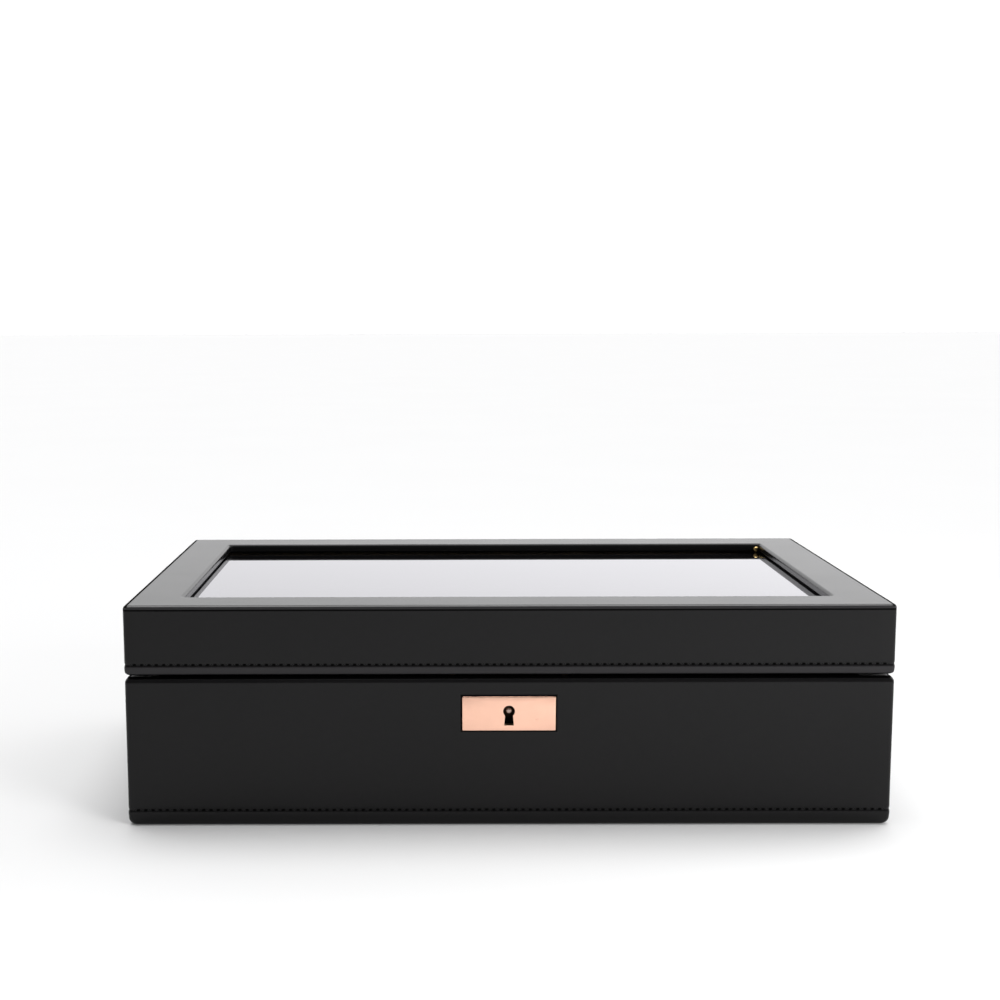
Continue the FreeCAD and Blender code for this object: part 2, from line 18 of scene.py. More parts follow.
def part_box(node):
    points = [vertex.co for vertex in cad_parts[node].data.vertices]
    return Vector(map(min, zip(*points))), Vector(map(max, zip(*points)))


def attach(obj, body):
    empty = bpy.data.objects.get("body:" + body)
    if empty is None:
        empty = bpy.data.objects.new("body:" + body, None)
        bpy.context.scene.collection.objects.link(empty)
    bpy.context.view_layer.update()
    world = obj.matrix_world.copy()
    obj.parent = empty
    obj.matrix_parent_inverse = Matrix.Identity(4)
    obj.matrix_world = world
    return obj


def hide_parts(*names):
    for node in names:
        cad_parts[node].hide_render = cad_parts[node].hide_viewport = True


bl_info = {
    "name": "Watch box",
    "version": (1, 0, 0),
    "blender": (4, 5, 0),
    "location": "3D View > Sidebar > Watch box",
    "description": "Builds the leather, linings, cushions and finishes of a watch box",
    "category": "Add Mesh",
}

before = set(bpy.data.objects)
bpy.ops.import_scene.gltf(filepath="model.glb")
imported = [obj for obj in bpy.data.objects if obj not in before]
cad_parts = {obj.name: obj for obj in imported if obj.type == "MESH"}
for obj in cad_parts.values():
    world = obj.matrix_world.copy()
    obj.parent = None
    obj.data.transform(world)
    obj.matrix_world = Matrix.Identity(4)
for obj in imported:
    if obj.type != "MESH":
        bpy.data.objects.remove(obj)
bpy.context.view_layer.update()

MM = 0.001
TOUCH = 0.001 * MM  # places closer than this are the same
HALF_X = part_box("base_leather")[1].x
HALF_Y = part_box("base_leather")[1].y
BASE_FOOT, BASE_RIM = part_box("base_leather")[0].z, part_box("base_leather")[1].z
LID_RIM, LID_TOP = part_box("lid_leather")[0].z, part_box("lid_leather")[1].z
WALL_INSIDE = HALF_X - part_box("base_floor")[1].x  # outer face to the inner face of a base wall
LID_INSIDE = HALF_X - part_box("lid_lining_right")[1].x
ROOM = HALF_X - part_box("base_lining_right")[0].x  # outer face to the lined room
WINDOW = HALF_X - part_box("lid_rail_right")[0].x + 1.0 * MM  # outer face to the window's edge
GLASS_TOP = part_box("lid_glass")[1].z
COMPARTMENTS = 10
CROSS_DIVIDERS = 4
SIDES = ("front", "rear", "left", "right")
HINGES = ("left", "right")
CORNER_STEPS = 5
COVER_SPACING = 6 * MM  # between points along a leather cover
LINING_SPACING = 12 * MM
SUPPORT = 0.35 * MM  # from a rounding to the ring that keeps it crisp
SMOOTH_ANGLE = math.radians(32)
NO_CREASES = math.pi
SIM_SCALE = 10.0  # the cushion is blown up at this scale, where cloth behaves well
SIM_FRAMES = 20

# Room that the leather leaves for what is let into it
HINGE_GAP = 0.2 * MM
BARREL_GROOVE = 2.7 * MM  # radius
LOCK_GAP = 0.1 * MM
LOCK_SKIN = 1.3 * MM  # a little more than the leather, so that the cut goes through

# Keyhole
EYE_RADIUS = 2.45 * MM
SKIRT_LENGTH = 6.0 * MM  # from the eye's middle
SKIRT_TOP = 1.525 * MM  # half width
SKIRT_FOOT = 2.0 * MM  # half width

# Camera, straight in front and a little above the lid
CAMERA_PLACE = (-0.02904, -0.74797, 0.21176)
CAMERA_FORWARD = (-0.00611, 0.99035, -0.13848)
CAMERA_UP = (0.00251, 0.13850, 0.99036)
CAMERA_SHIFT = (0.0710, 0.0403)
SENSOR_WIDTH = 36.0

# Lamps
OVERHEAD_PLACE = (0.02, 0.24, 1.6)
OVERHEAD_SPREAD = math.radians(46)
PANEL_PLACE = (0.48, -0.62, 0.34)
PANEL_SIZE = 0.35


# ---------------------------------------------------------------- settings


def length(name, description, default):
    """A length in metres, shown in the scene's units."""
    return FloatProperty(
        name=name, description=description, default=default, min=0.0, precision=5, unit="LENGTH"
    )


def colour(name, description, default):
    """A linear RGB colour."""
    return FloatVectorProperty(
        name=name, description=description, default=default, min=0.0, max=1.0, subtype="COLOR", size=3
    )


def factor(name, description, default, highest=1.0):
    """A plain number."""
    return FloatProperty(name=name, description=description, default=default, min=0.0, max=highest)


class WatchBoxSizes(PropertyGroup):
    """Sizes that the frame leaves to the finish of the pieces."""

    leather: length("Leather", "Thickness of the leather", 1.0 * MM)
    corner_radius: length("Corner radius", "Rounding of the upright corners", 2.0 * MM)
    rim_radius: length("Rim radius", "Rounding of the lid's edges", 1.5 * MM)
    base_rim_radius: length("Base rim radius", "Rounding of the base's upper edge", 2.3 * MM)
    foot_inset: length("Foot inset", "How far the base's lower edge runs in", 2.4 * MM)
    foot_height: length("Foot height", "Height of the base's rounded lower edge", 3.6 * MM)
    base_seam: length("Base seam", "Foot of the base to its row of stitches", 6.4 * MM)
    lid_seam: length("Lid seam", "Rim of the lid to its row of stitches", 4.5 * MM)
    seam_depth: length("Seam depth", "How far the stitches pull the leather in", 0.18 * MM)
    puff: length("Puff", "How far the leather stands out beside the seam", 0.10 * MM)
    unevenness: length("Unevenness", "Slow waviness of the stretched leather", 0.09 * MM)
    stitch_pitch: length("Stitch pitch", "From one stitch to the next", 3.05 * MM)
    stitch_length: length("Stitch length", "Visible length of one stitch", 1.8 * MM)
    thread: length("Thread", "Thickness of the thread", 0.9 * MM)
    suede_roll: length("Suede roll", "Rounding of the suede-covered edges", 1.2 * MM)
    cushion_slack: length("Cushion slack", "How much smaller a cushion is before it's filled", 2.6 * MM)
    cushion_voxel: length("Cushion voxel", "Size of the cushion's mesh before it's divided", 2.6 * MM)
    cushion_seam: length("Cushion seam", "End of a cushion to the seam of its end panel", 5.0 * MM)


class WatchBoxColours(PropertyGroup):
    """Colours of the finishes."""

    leather: colour("Leather", "Black calf leather", (0.0042, 0.0040, 0.0043))
    thread: colour("Thread", "Waxed thread", (0.0010, 0.0010, 0.0010))
    lining: colour("Lining", "Suede of the linings and dividers", (0.055, 0.053, 0.058))
    cushion: colour("Cushion", "Suede of the watch cushions", (0.085, 0.082, 0.088))
    felt: colour("Felt", "Felt under the base", (0.02, 0.02, 0.02))
    board: colour("Board", "Fibreboard of the walls and rails", (0.42, 0.31, 0.20))
    rose_gold: colour("Rose gold", "Plating of the lock plate", (0.92, 0.56, 0.42))
    brass: colour("Brass", "Hinges, pins and screws", (0.78, 0.56, 0.23))
    nickel: colour("Nickel", "Bolt and spring of the lock", (0.52, 0.50, 0.47))
    # Browned steel, made much darker than bare metal as painted shade inside the keyhole and the rim gap.
    browned_and_shade: colour("Browned steel", "Case and strike plate of the lock", (0.055, 0.036, 0.026))
    post: colour("Key post", "Steel post that shows in the keyhole", (0.40, 0.31, 0.27))


class WatchBoxStudio(PropertyGroup):
    """Camera and light."""

    lens: FloatProperty(name="Lens", description="Focal length", default=57.45, min=20.0, unit="CAMERA")
    floor: colour("Floor", "Plain floor", (0.84, 0.84, 0.84))
    sky_back: factor("Light behind", "World light low behind the box", 1.38, 10.0)
    sky_top: factor("Light above", "World light from above", 1.05, 10.0)
    sky_front: factor("Light in front", "World light from the camera's side", 0.20, 10.0)
    overhead: factor("Overhead light", "Strength of the wide light above", 1.95, 20.0)
    side_light: factor("Side light", "Power of the panel in front on the right, in watts", 3.1, 50.0)
    stitch_seed: IntProperty(name="Seed", description="Seed of the uneven stitches", default=7)


# ---------------------------------------------------------------- modelling


def clear_selection():
    """Object mode with nothing selected."""
    if bpy.context.mode != "OBJECT":
        bpy.ops.object.mode_set(mode="OBJECT")
    bpy.ops.object.select_all(action="DESELECT")


def choose(piece):
    """Makes one piece the only selected and the active one."""
    clear_selection()
    piece.select_set(True)
    bpy.context.view_layer.objects.active = piece
    return piece


def named(name):
    """Names the new primitive and puts its place, turn and size into its mesh."""
    piece = bpy.context.object
    piece.name = name
    piece.data.name = name
    bpy.ops.object.transform_apply(location=True, rotation=True, scale=True)
    return piece


def block(name, low, high):
    """A box between two corners."""
    clear_selection()
    low, high = Vector(low), Vector(high)
    bpy.ops.mesh.primitive_cube_add(size=1.0, location=(low + high) / 2)
    bpy.context.object.scale = high - low
    return named(name)


def rod(name, start, end, radius, sides=32):
    """A cylinder from start to end, which lie on a line along X or Y."""
    clear_selection()
    start, end = Vector(start), Vector(end)
    turn = (end - start).to_track_quat("Z", "Y").to_euler()
    bpy.ops.mesh.primitive_cylinder_add(
        vertices=sides, radius=radius, depth=(end - start).length, location=(start + end) / 2, rotation=turn
    )
    return named(name)


def pick(kind, test):
    """Selects, in edit mode, the vertices, edges or faces whose every corner passes the test."""
    mesh = bpy.context.object.data
    bpy.ops.mesh.select_mode(type=kind)
    bpy.ops.mesh.select_all(action="DESELECT")
    shape = bmesh.from_edit_mesh(mesh)
    if kind == "VERT":
        for vertex in shape.verts:
            if test(vertex.co):
                vertex.select_set(True)
    else:
        for item in shape.edges if kind == "EDGE" else shape.faces:
            if all(test(corner.co) for corner in item.verts):
                item.select_set(True)
    shape.select_flush_mode()
    bmesh.update_edit_mesh(mesh)


def pick_edges(test):
    """Selects, in edit mode, the edges whose two ends pass the test together."""
    mesh = bpy.context.object.data
    bpy.ops.mesh.select_mode(type="EDGE")
    bpy.ops.mesh.select_all(action="DESELECT")
    for edge in bmesh.from_edit_mesh(mesh).edges:
        if test(*(corner.co for corner in edge.verts)):
            edge.select_set(True)
    bmesh.update_edit_mesh(mesh)


def edit(piece):
    """Edit mode on one piece, with all of it selected."""
    choose(piece)
    bpy.ops.object.mode_set(mode="EDIT")
    bpy.ops.mesh.select_all(action="SELECT")


def heal(piece):
    """Merges doubles and turns every face outwards."""
    edit(piece)
    bpy.ops.mesh.remove_doubles(threshold=0.002 * MM)
    bpy.ops.mesh.normals_make_consistent(inside=False)
    bpy.ops.object.mode_set(mode="OBJECT")
    return piece


def finish_with(piece, kind, **settings):
    """Adds a modifier, sets it and applies it."""
    choose(piece)
    modifier = piece.modifiers.new(kind.lower(), kind)
    for name, value in settings.items():
        setattr(modifier, name, value)
    bpy.ops.object.modifier_apply(modifier=modifier.name)
    return piece


def cut(piece, tool):
    """Cuts the tool's shape out of a piece and throws the tool away."""
    finish_with(piece, "BOOLEAN", operation="DIFFERENCE", solver="EXACT", object=tool)
    bpy.data.objects.remove(tool)
    return piece


def copy_of(piece, name, shift=(0, 0, 0)):
    """A copy with its own mesh, moved by shift."""
    twin = piece.copy()
    twin.data = piece.data.copy()
    twin.name = name
    twin.data.name = name
    twin.data.transform(Matrix.Translation(shift))
    bpy.context.scene.collection.objects.link(twin)
    return twin


def turned_copy(piece, name, degrees):
    """A copy turned about the box's upright axis."""
    twin = copy_of(piece, name)
    twin.data.transform(Matrix.Rotation(math.radians(degrees), 4, "Z"))
    return twin


def join(pieces, name):
    """Joins pieces into one."""
    choose(pieces[0])
    for piece in pieces[1:]:
        piece.select_set(True)
    bpy.ops.object.join()
    pieces[0].name = name
    pieces[0].data.name = name
    return pieces[0]


def arc(centre, radius, start, end, steps=5):
    """Points of an arc in the section's plane, from start to end degrees."""
    points = []
    for step in range(steps + 1):
        angle = math.radians(start + (end - start) * step / steps)
        points.append((centre[0] + radius * math.cos(angle), centre[1] + radius * math.sin(angle)))
    return points


def sweep(name, section, corner, spacing):
    """Sweeps a closed section round the box's plan.

    A point of the section is (inset from the outer faces, height).
    Each ring is extruded from the last one and resized to its inset.
    """
    clear_selection()
    inset, height = section[0]
    bpy.ops.mesh.primitive_plane_add(size=2.0, location=(0, 0, height))
    bpy.context.object.scale = (HALF_X - inset, HALF_Y - inset, 1)
    piece = named(name)
    edit(piece)
    bpy.ops.mesh.bevel(offset=corner, segments=CORNER_STEPS, affect="VERTICES")
    bpy.ops.mesh.delete(type="ONLY_FACE")
    for axis, reach in ((1, HALF_Y - inset), (0, HALF_X - inset)):
        pick("EDGE", lambda co: abs(abs(co[axis]) - reach) < TOUCH)
        bpy.ops.mesh.subdivide(number_cuts=round(2 * (HALF_Y, HALF_X)[axis] / spacing))
    bpy.ops.mesh.select_all(action="SELECT")
    for next_inset, next_height in section[1:] + section[:1]:
        bpy.ops.mesh.extrude_region_move(
            TRANSFORM_OT_translate={"value": (0, 0, next_height - height)}
        )
        grow = ((HALF_X - next_inset) / (HALF_X - inset), (HALF_Y - next_inset) / (HALF_Y - inset), 1)
        bpy.ops.transform.resize(value=grow, center_override=(0, 0, 0))
        inset, height = next_inset, next_height
    return heal(piece)


def smooth(piece, angle=SMOOTH_ANGLE):
    """Smooth shading, with creases kept sharp."""
    choose(piece)
    bpy.ops.object.shade_smooth_by_angle(angle=angle)
    return piece


def wear(piece, material, body, nodes=()):
    """Gives a finished piece its material, body and the nodes it stands for."""
    piece.data.materials.clear()
    piece.data.materials.append(material)
    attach(piece, body)
    if nodes:
        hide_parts(*nodes)
    return piece


def paint(material, *nodes):
    """Gives carried-over nodes their material."""
    for name in nodes:
        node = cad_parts[name]
        if not node.material_slots:
            node.data.materials.append(material)
        for place in node.material_slots:
            place.material = material


# ---------------------------------------------------------------- shader graphs


class Wire:
    """A socket that takes part in expressions. Each operation adds one Math node."""

    def __init__(self, graph, socket):
        self.graph = graph
        self.socket = socket

    def _math(self, operation, *values):
        sockets = dict(enumerate(values))
        return self.graph.node("ShaderNodeMath", {"operation": operation}, sockets)

    def __add__(self, other):
        return self._math("ADD", self, other)

    def __radd__(self, other):
        return self._math("ADD", other, self)

    def __sub__(self, other):
        return self._math("SUBTRACT", self, other)

    def __rsub__(self, other):
        return self._math("SUBTRACT", other, self)

    def __mul__(self, other):
        return self._math("MULTIPLY", self, other)

    def __rmul__(self, other):
        return self._math("MULTIPLY", other, self)

    def __truediv__(self, other):
        return self._math("DIVIDE", self, other)

    def __pow__(self, other):
        return self._math("POWER", self, other)

    def __abs__(self):
        return self._math("ABSOLUTE", self)

    def cosine(self):
        return self._math("COSINE", self)

    def above(self, other):
        return self._math("GREATER_THAN", self, other)

    def highest(self, other):
        return self._math("MAXIMUM", self, other)

    def lowest(self, other):
        return self._math("MINIMUM", self, other)

    def ramp(self, low, high, start=0.0, end=1.0):
        """Goes smoothly from start to end as the value goes from low to high."""
        settings = {"interpolation_type": "SMOOTHSTEP"}
        sockets = {"Value": self, "From Min": low, "From Max": high, "To Min": start, "To Max": end}
        return self.graph.node("ShaderNodeMapRange", settings, sockets)


class Graph:
    """The nodes of one material or world."""

    def __init__(self, owner):
        owner.use_nodes = True
        self.owner = owner
        self.tree = owner.node_tree
        self.tree.nodes.clear()

    def node(self, kind, settings=None, sockets=None, output=0):
        """Adds a node: its settings first, then the values or links of its sockets."""
        made = self.tree.nodes.new(kind)
        for name, value in (settings or {}).items():
            setattr(made, name, value)
        for name, value in (sockets or {}).items():
            if isinstance(value, Wire):
                self.tree.links.new(value.socket, made.inputs[name])
            else:
                made.inputs[name].default_value = value
        return Wire(self, made.outputs[output]) if made.outputs else None

    def millimetres(self):
        """The piece's own coordinates, in millimetres."""
        here = self.node("ShaderNodeTexCoord", output="Object")
        return self.node("ShaderNodeVectorMath", {"operation": "SCALE"}, {0: here, "Scale": 1 / MM})

    def split(self, vector):
        """The three numbers of a vector."""
        parts = self.node("ShaderNodeSeparateXYZ", None, {0: vector})
        return [Wire(self, socket) for socket in parts.socket.node.outputs]

    def stretched(self, vector, x, y, z):
        """Coordinates multiplied by three numbers, which draws a pattern out."""
        return self.node("ShaderNodeVectorMath", {"operation": "MULTIPLY"}, {0: vector, 1: (x, y, z)})

    def noise(self, vector, scale, detail=3.0, rough=0.5, distortion=0.0):
        """Noise from 0 to 1."""
        sockets = {"Vector": vector, "Scale": scale, "Detail": detail, "Roughness": rough}
        sockets["Distortion"] = distortion
        return self.node("ShaderNodeTexNoise", None, sockets, "Fac")

    def cells(self, vector, scale):
        """Distance to the nearest cell's middle."""
        return self.node("ShaderNodeTexVoronoi", None, {"Vector": vector, "Scale": scale}, "Distance")

    def blend(self, share, first, second):
        """A mix of two colours."""
        settings = {"data_type": "RGBA"}
        return self.node("ShaderNodeMix", settings, {0: share, 6: first, 7: second}, 2)

    def bump(self, height, strength, distance, under=None):
        """A normal from a height, which may lie on another bump."""
        sockets = {"Strength": strength, "Distance": distance, "Height": height}
        if under:
            sockets["Normal"] = under
        return self.node("ShaderNodeBump", None, sockets)

    def surface(self, shader, kind="ShaderNodeOutputMaterial"):
        """Ends the graph."""
        self.node(kind, None, {"Surface": shader})
        return self.owner

    def shader(self, **sockets):
        """The main shader. Underscores in a name stand for spaces."""
        sockets = {name.replace("_", " "): value for name, value in sockets.items()}
        return self.node("ShaderNodeBsdfPrincipled", None, sockets)

    def principled(self, **sockets):
        """Ends the graph with the main shader alone."""
        return self.surface(self.shader(**sockets))


def shade(rgb, times=1.0):
    """A colour made lighter or darker, with its alpha."""
    return (*(min(1.0, part * times) for part in rgb), 1.0)


def leather_material(colours, sizes, name, seam_height, rims, strip=1.0, plate=None):
    """Satin calf: fine grain, slow mottling, and painted shade in needle holes and corner seams.

    A rim is a line of painted shade, without gloss, where a gap or the glass shades the leather:
    its level, its half width and the two insets between which it runs.
    The strip beside the seam may be painted lighter as a highlight, and a painted shadow runs round the
    plate.
    The lid's upper edge has painted shade along its sides and a painted highlight along its front and rear.
    These numbers, and those of the patterns, are in millimetres.
    """
    graph = Graph(bpy.data.materials.new(name))
    place = graph.millimetres()
    x, y, z = graph.split(place)
    seam, lid_top = seam_height / MM, LID_TOP / MM
    mottle = graph.noise(place, 0.035, 4.0, 0.55)
    grain = graph.cells(place, 1.5)
    pores = graph.noise(place, 2.6, 3.0, 0.6)
    from_side = HALF_X / MM - abs(x)
    from_front = HALF_Y / MM - abs(y)
    inset = from_side.lowest(from_front)
    on_side = from_front.above(from_side)
    run = on_side * y + (1 - on_side) * x
    beat = (run * (math.tau * MM / sizes.stitch_pitch)).cosine()
    # Painted shade: the needle holes between the stitches are darkened.
    holes = (0 - beat).highest(0.0) ** 6.0
    holes = holes * abs(z - seam).ramp(0.15, 0.75, 1.0, 0.0) * inset.ramp(0.8, 1.6, 1.0, 0.0)
    # Painted shade: a dark line in the fold of the seam at each upright corner.
    corner = abs(from_side - from_front).ramp(0.08, 0.3, 1.0, 0.0)
    corner = corner * (from_side + from_front).ramp(1.6, 2.6, 1.0, 0.0)
    # Painted shade: a dark line on the rounded upper edge of the lid's left and right sides.
    arris = from_side.ramp(1.7, 2.2, 0.95, 0.0) * z.ramp(lid_top - 1.0, lid_top - 0.6)
    painted_shade = (corner * 0.7).highest(arris)
    # Painted shade: dark lines without gloss at the rims, where the gap between lid and base, the glass or
    # the upper edge shades the leather.
    for level, width, start, end in rims:
        band = abs(z - level).ramp(width * 0.35, width, 0.9, 0.0)
        painted_shade = painted_shade.highest(band * inset.above(start) * (1 - inset.above(end)))
    # Painted shadow: a dark line round the lock plate on the front face.
    if plate:
        middle, half = (plate[0] + plate[1]) / 2 / MM, (plate[1] - plate[0]) / 2 / MM
        beside = (abs(x - middle.x) - half.x).highest(abs(z - middle.z) - half.z)
        on_front = y.ramp(-HALF_Y / MM + 1, -HALF_Y / MM + 2, 1.0, 0.0)
        painted_shade = painted_shade.highest(beside.ramp(0.25, 0.8, 0.95, 0.0) * on_front)
    # Where the painted shade lies, a matte copy with no specular is mixed in, so no reflection shows there
    # either.
    painted_shade_share = painted_shade * 0.95
    painted_shade = painted_shade.highest(holes * 0.5)
    # Painted highlight: the strip just below the seam is made lighter by the factor strip.
    seam_strip_highlight = (seam - z).ramp(0.5, 1.3) * inset.ramp(0.3, 0.9, 1.0, 0.0)
    # Painted highlight: a lighter band, with a coat, on the rounded upper edge of the lid at its front and
    # rear.
    top_edge_highlight = z.ramp(lid_top - 1.6, lid_top - 1.3) * inset.ramp(1.8, 2.4, 1.0, 0.0) * (1 - on_side)
    top_edge_highlight = top_edge_highlight * z.ramp(lid_top - 0.2, lid_top - 0.05, 1.0, 0.0)
    base = graph.blend(mottle, shade(colours.leather, 0.8), shade(colours.leather, 1.35))
    base = graph.blend(seam_strip_highlight, base, shade(colours.leather, strip))
    base = graph.blend(top_edge_highlight, base, shade(colours.leather, 5.0))
    # Painted shade: the leather's colour is darkened wherever the shade mask lies.
    base = graph.blend(painted_shade, base, shade(colours.leather, 0.25))
    roughness = 0.20 + mottle * 0.04 + pores * 0.04 + painted_shade * 0.4
    fine = graph.bump(grain * 0.6 + pores * 0.4, 0.10, 0.05 * MM)
    relief = graph.bump(1 - painted_shade, 0.5, 0.15 * MM, fine)
    satin = graph.shader(
        Base_Color=base,
        Roughness=roughness,
        Specular_IOR_Level=0.19,
        Coat_Weight=top_edge_highlight * 0.8,
        Coat_Roughness=0.3,
        Normal=relief,
    )
    painted_shade_matte = graph.shader(Base_Color=base, Roughness=roughness, Specular_IOR_Level=0.0, Normal=relief)
    return graph.surface(graph.node("ShaderNodeMixShader", None, {0: painted_shade_share, 1: satin, 2: painted_shade_matte}))


def thread_material(colours):
    """Waxed black thread with its twist."""
    graph = Graph(bpy.data.materials.new("waxed_thread"))
    place = graph.millimetres()
    x, y, z = graph.split(place)
    twist = ((x + y) * 9.0 + z * 14.0).cosine()
    fuzz = graph.noise(place, 5.0, 2.0)
    base = graph.blend(fuzz, shade(colours.thread, 0.7), shade(colours.thread, 1.6))
    return graph.principled(
        Base_Color=base,
        Roughness=0.72 + fuzz * 0.2,
        Specular_IOR_Level=0.06,
        Normal=graph.bump(twist, 0.5, 0.06 * MM),
    )


def suede_material(name, rgb, seams=0.0):
    """Short-napped suede cloth with brushed patches and a soft sheen."""
    graph = Graph(bpy.data.materials.new(name))
    place = graph.millimetres()
    patches = graph.noise(place, 0.07, 3.0, 0.6, 0.8)
    nap = graph.noise(place, 2.4, 4.0, 0.7)
    weave = graph.cells(place, 1.9)
    share = (patches * 0.65 + nap * 0.35).ramp(0.3, 0.7)
    base = graph.blend(share, shade(rgb, 0.62), shade(rgb, 1.38))
    height = nap * 0.7 + weave * 0.3 + patches * seams
    return graph.principled(
        Base_Color=base,
        Roughness=0.84 + nap * 0.14,
        Specular_IOR_Level=0.2,
        Sheen_Weight=0.35,
        Sheen_Roughness=0.45,
        Sheen_Tint=(0.75, 0.74, 0.8, 1.0),
        Normal=graph.bump(height, 0.45, 0.12 * MM),
    )


def felt_material(colours):
    """Pressed felt: matted fibres."""
    graph = Graph(bpy.data.materials.new("pressed_felt"))
    place = graph.millimetres()
    fibres = graph.noise(graph.stretched(place, 1.0, 0.35, 1.0), 1.8, 6.0, 0.75, 2.0)
    clumps = graph.noise(place, 0.16, 3.0)
    base = graph.blend(fibres, shade(colours.felt, 0.5), shade(colours.felt, 2.0))
    return graph.principled(
        Base_Color=base,
        Roughness=0.9 + clumps * 0.08,
        Specular_IOR_Level=0.15,
        Normal=graph.bump(fibres + clumps, 0.6, 0.2 * MM),
    )


def board_material(colours):
    """Raw fibreboard: pressed fibres in layers with pale and dark flecks."""
    graph = Graph(bpy.data.materials.new("fibreboard"))
    place = graph.millimetres()
    fibres = graph.noise(graph.stretched(place, 0.5, 0.5, 2.0), 1.3, 6.0, 0.7, 0.6)
    flecks = graph.cells(graph.stretched(place, 0.7, 0.7, 2.2), 1.1).ramp(0.1, 0.3, 1.0, 0.0)
    stain = graph.noise(place, 0.05, 2.0)
    base = graph.blend(fibres, shade(colours.board, 0.72), shade(colours.board, 1.18))
    base = graph.blend(flecks * 0.35, base, shade(colours.board, 0.5))
    return graph.principled(
        Base_Color=base,
        Roughness=0.78 + stain * 0.15,
        Specular_IOR_Level=0.3,
        Normal=graph.bump(fibres, 0.35, 0.15 * MM),
    )


def metal_material(name, rgb, roughness, grain, tarnish, relief=0.05):
    """Plated or turned metal: fine lines along the grain, faint tarnish and rub marks."""
    graph = Graph(bpy.data.materials.new(name))
    place = graph.millimetres()
    lines = graph.noise(graph.stretched(place, *grain), 3.0, 4.0, 0.65)
    cloud = graph.noise(place, 0.22, 3.0, 0.6)
    marks = graph.noise(graph.stretched(place, 0.4, 0.4, 1.6), 0.4, 2.0).ramp(0.62, 0.75)
    base = graph.blend(cloud.ramp(0.35, 0.75) * tarnish, shade(rgb), shade(rgb, 0.72))
    return graph.principled(
        Base_Color=base,
        Metallic=1.0,
        Roughness=roughness + lines * 0.05 + cloud * 0.05 + marks * 0.03,
        Normal=graph.bump(lines, relief, 0.03 * MM),
    )


def glass_material():
    """Float glass: clear head on, a mirror at a flat angle, with the faintest smears."""
    graph = Graph(bpy.data.materials.new("float_glass"))
    place = graph.millimetres()
    smears = graph.noise(graph.stretched(place, 1.0, 0.5, 1.0), 0.03, 3.0, 0.6, 0.5)
    facing = graph.node("ShaderNodeLayerWeight", None, {"Blend": 0.5}, "Facing")
    one_face = 0.04 + 0.96 * facing ** 5.0
    two_faces, boost = 2.0, 1.4  # the gloss is tinted down by as much, which leaves less noise
    behind = graph.node("ShaderNodeNewGeometry", output="Backfacing")
    mirror = (1 - behind) * (two_faces * boost * one_face / (1 + one_face)).lowest(1.0)
    gloss = graph.node(
        "ShaderNodeBsdfGlossy", None, {"Color": (0.645, 0.64, 0.66, 1.0), "Roughness": smears * 0.02}
    )
    clear = graph.node("ShaderNodeBsdfTransparent", None, {"Color": (0.97, 0.98, 0.975, 1.0)})
    return graph.surface(graph.node("ShaderNodeMixShader", None, {0: mirror, 1: clear, 2: gloss}))


# ---------------------------------------------------------------- pieces


def hinge_tool(side, foot, top):
    """Room for one hinge's leaf between two heights, with its barrel's groove."""
    low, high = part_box(f"hinge_{side}_base_leaf")
    pin_low, pin_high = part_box(f"hinge_{side}_pin")
    left, right = low.x - HINGE_GAP, high.x + HINGE_GAP
    pocket = block("tool", (left, low.y - HINGE_GAP, foot), (right, HALF_Y + 2 * MM, top))
    axis = (pin_low + pin_high) / 2
    return [pocket, rod("tool", (left, axis.y, axis.z), (right, axis.y, axis.z), BARREL_GROOVE)]


def keyway_tool(grow, start, end):
    """The keyhole's shape, grown, between two depths: a round hole over a flaring skirt."""
    post_low, post_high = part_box("lock_key_post")
    eye = (post_low + post_high) / 2
    hole = rod("tool", (eye.x, start, eye.z), (eye.x, end, eye.z), EYE_RADIUS + grow, 48)
    foot = eye.z - SKIRT_LENGTH - grow
    skirt = block("tool", (eye.x - 1, start, foot), (eye.x + 1, end, eye.z))
    edit(skirt)
    for level, half in ((eye.z, SKIRT_TOP + grow), (foot, SKIRT_FOOT + grow)):
        pick("VERT", lambda co: abs(co.z - level) < TOUCH)
        bpy.ops.transform.resize(value=(half, 1, 1), center_override=(eye.x, 0, 0))
    bpy.ops.object.mode_set(mode="OBJECT")
    return [hole, skirt]


def cover_finish(piece, sizes, tools):
    """Slight waviness, then the openings, then smooth faces."""
    ripple = bpy.data.textures.new(f"{piece.name}_ripple", "CLOUDS")
    ripple.noise_scale = 0.035
    ripple.noise_depth = 2
    finish_with(piece, "DISPLACE", texture=ripple, texture_coords="LOCAL", strength=sizes.unevenness)
    bpy.data.textures.remove(ripple)
    for tool in tools:
        cut(piece, tool)
    return smooth(heal(piece))


def seam_profile(sizes, seam):
    """Points of the leather from below a row of stitches to above it: puffed beside it, pulled in at it."""
    deep, puff = sizes.seam_depth, sizes.puff
    shape = [(-puff * 0.8, -2.1), (-puff, -1.4), (-puff * 0.5, -0.75)]
    shape += [(deep * 0.6, -0.3), (deep, 0), (deep * 0.6, 0.3)]
    shape += [(-puff * 0.15, 0.75), (-puff * 0.25, 1.7), (0, 4)]
    return [(inset, seam + rise * MM) for inset, rise in shape]


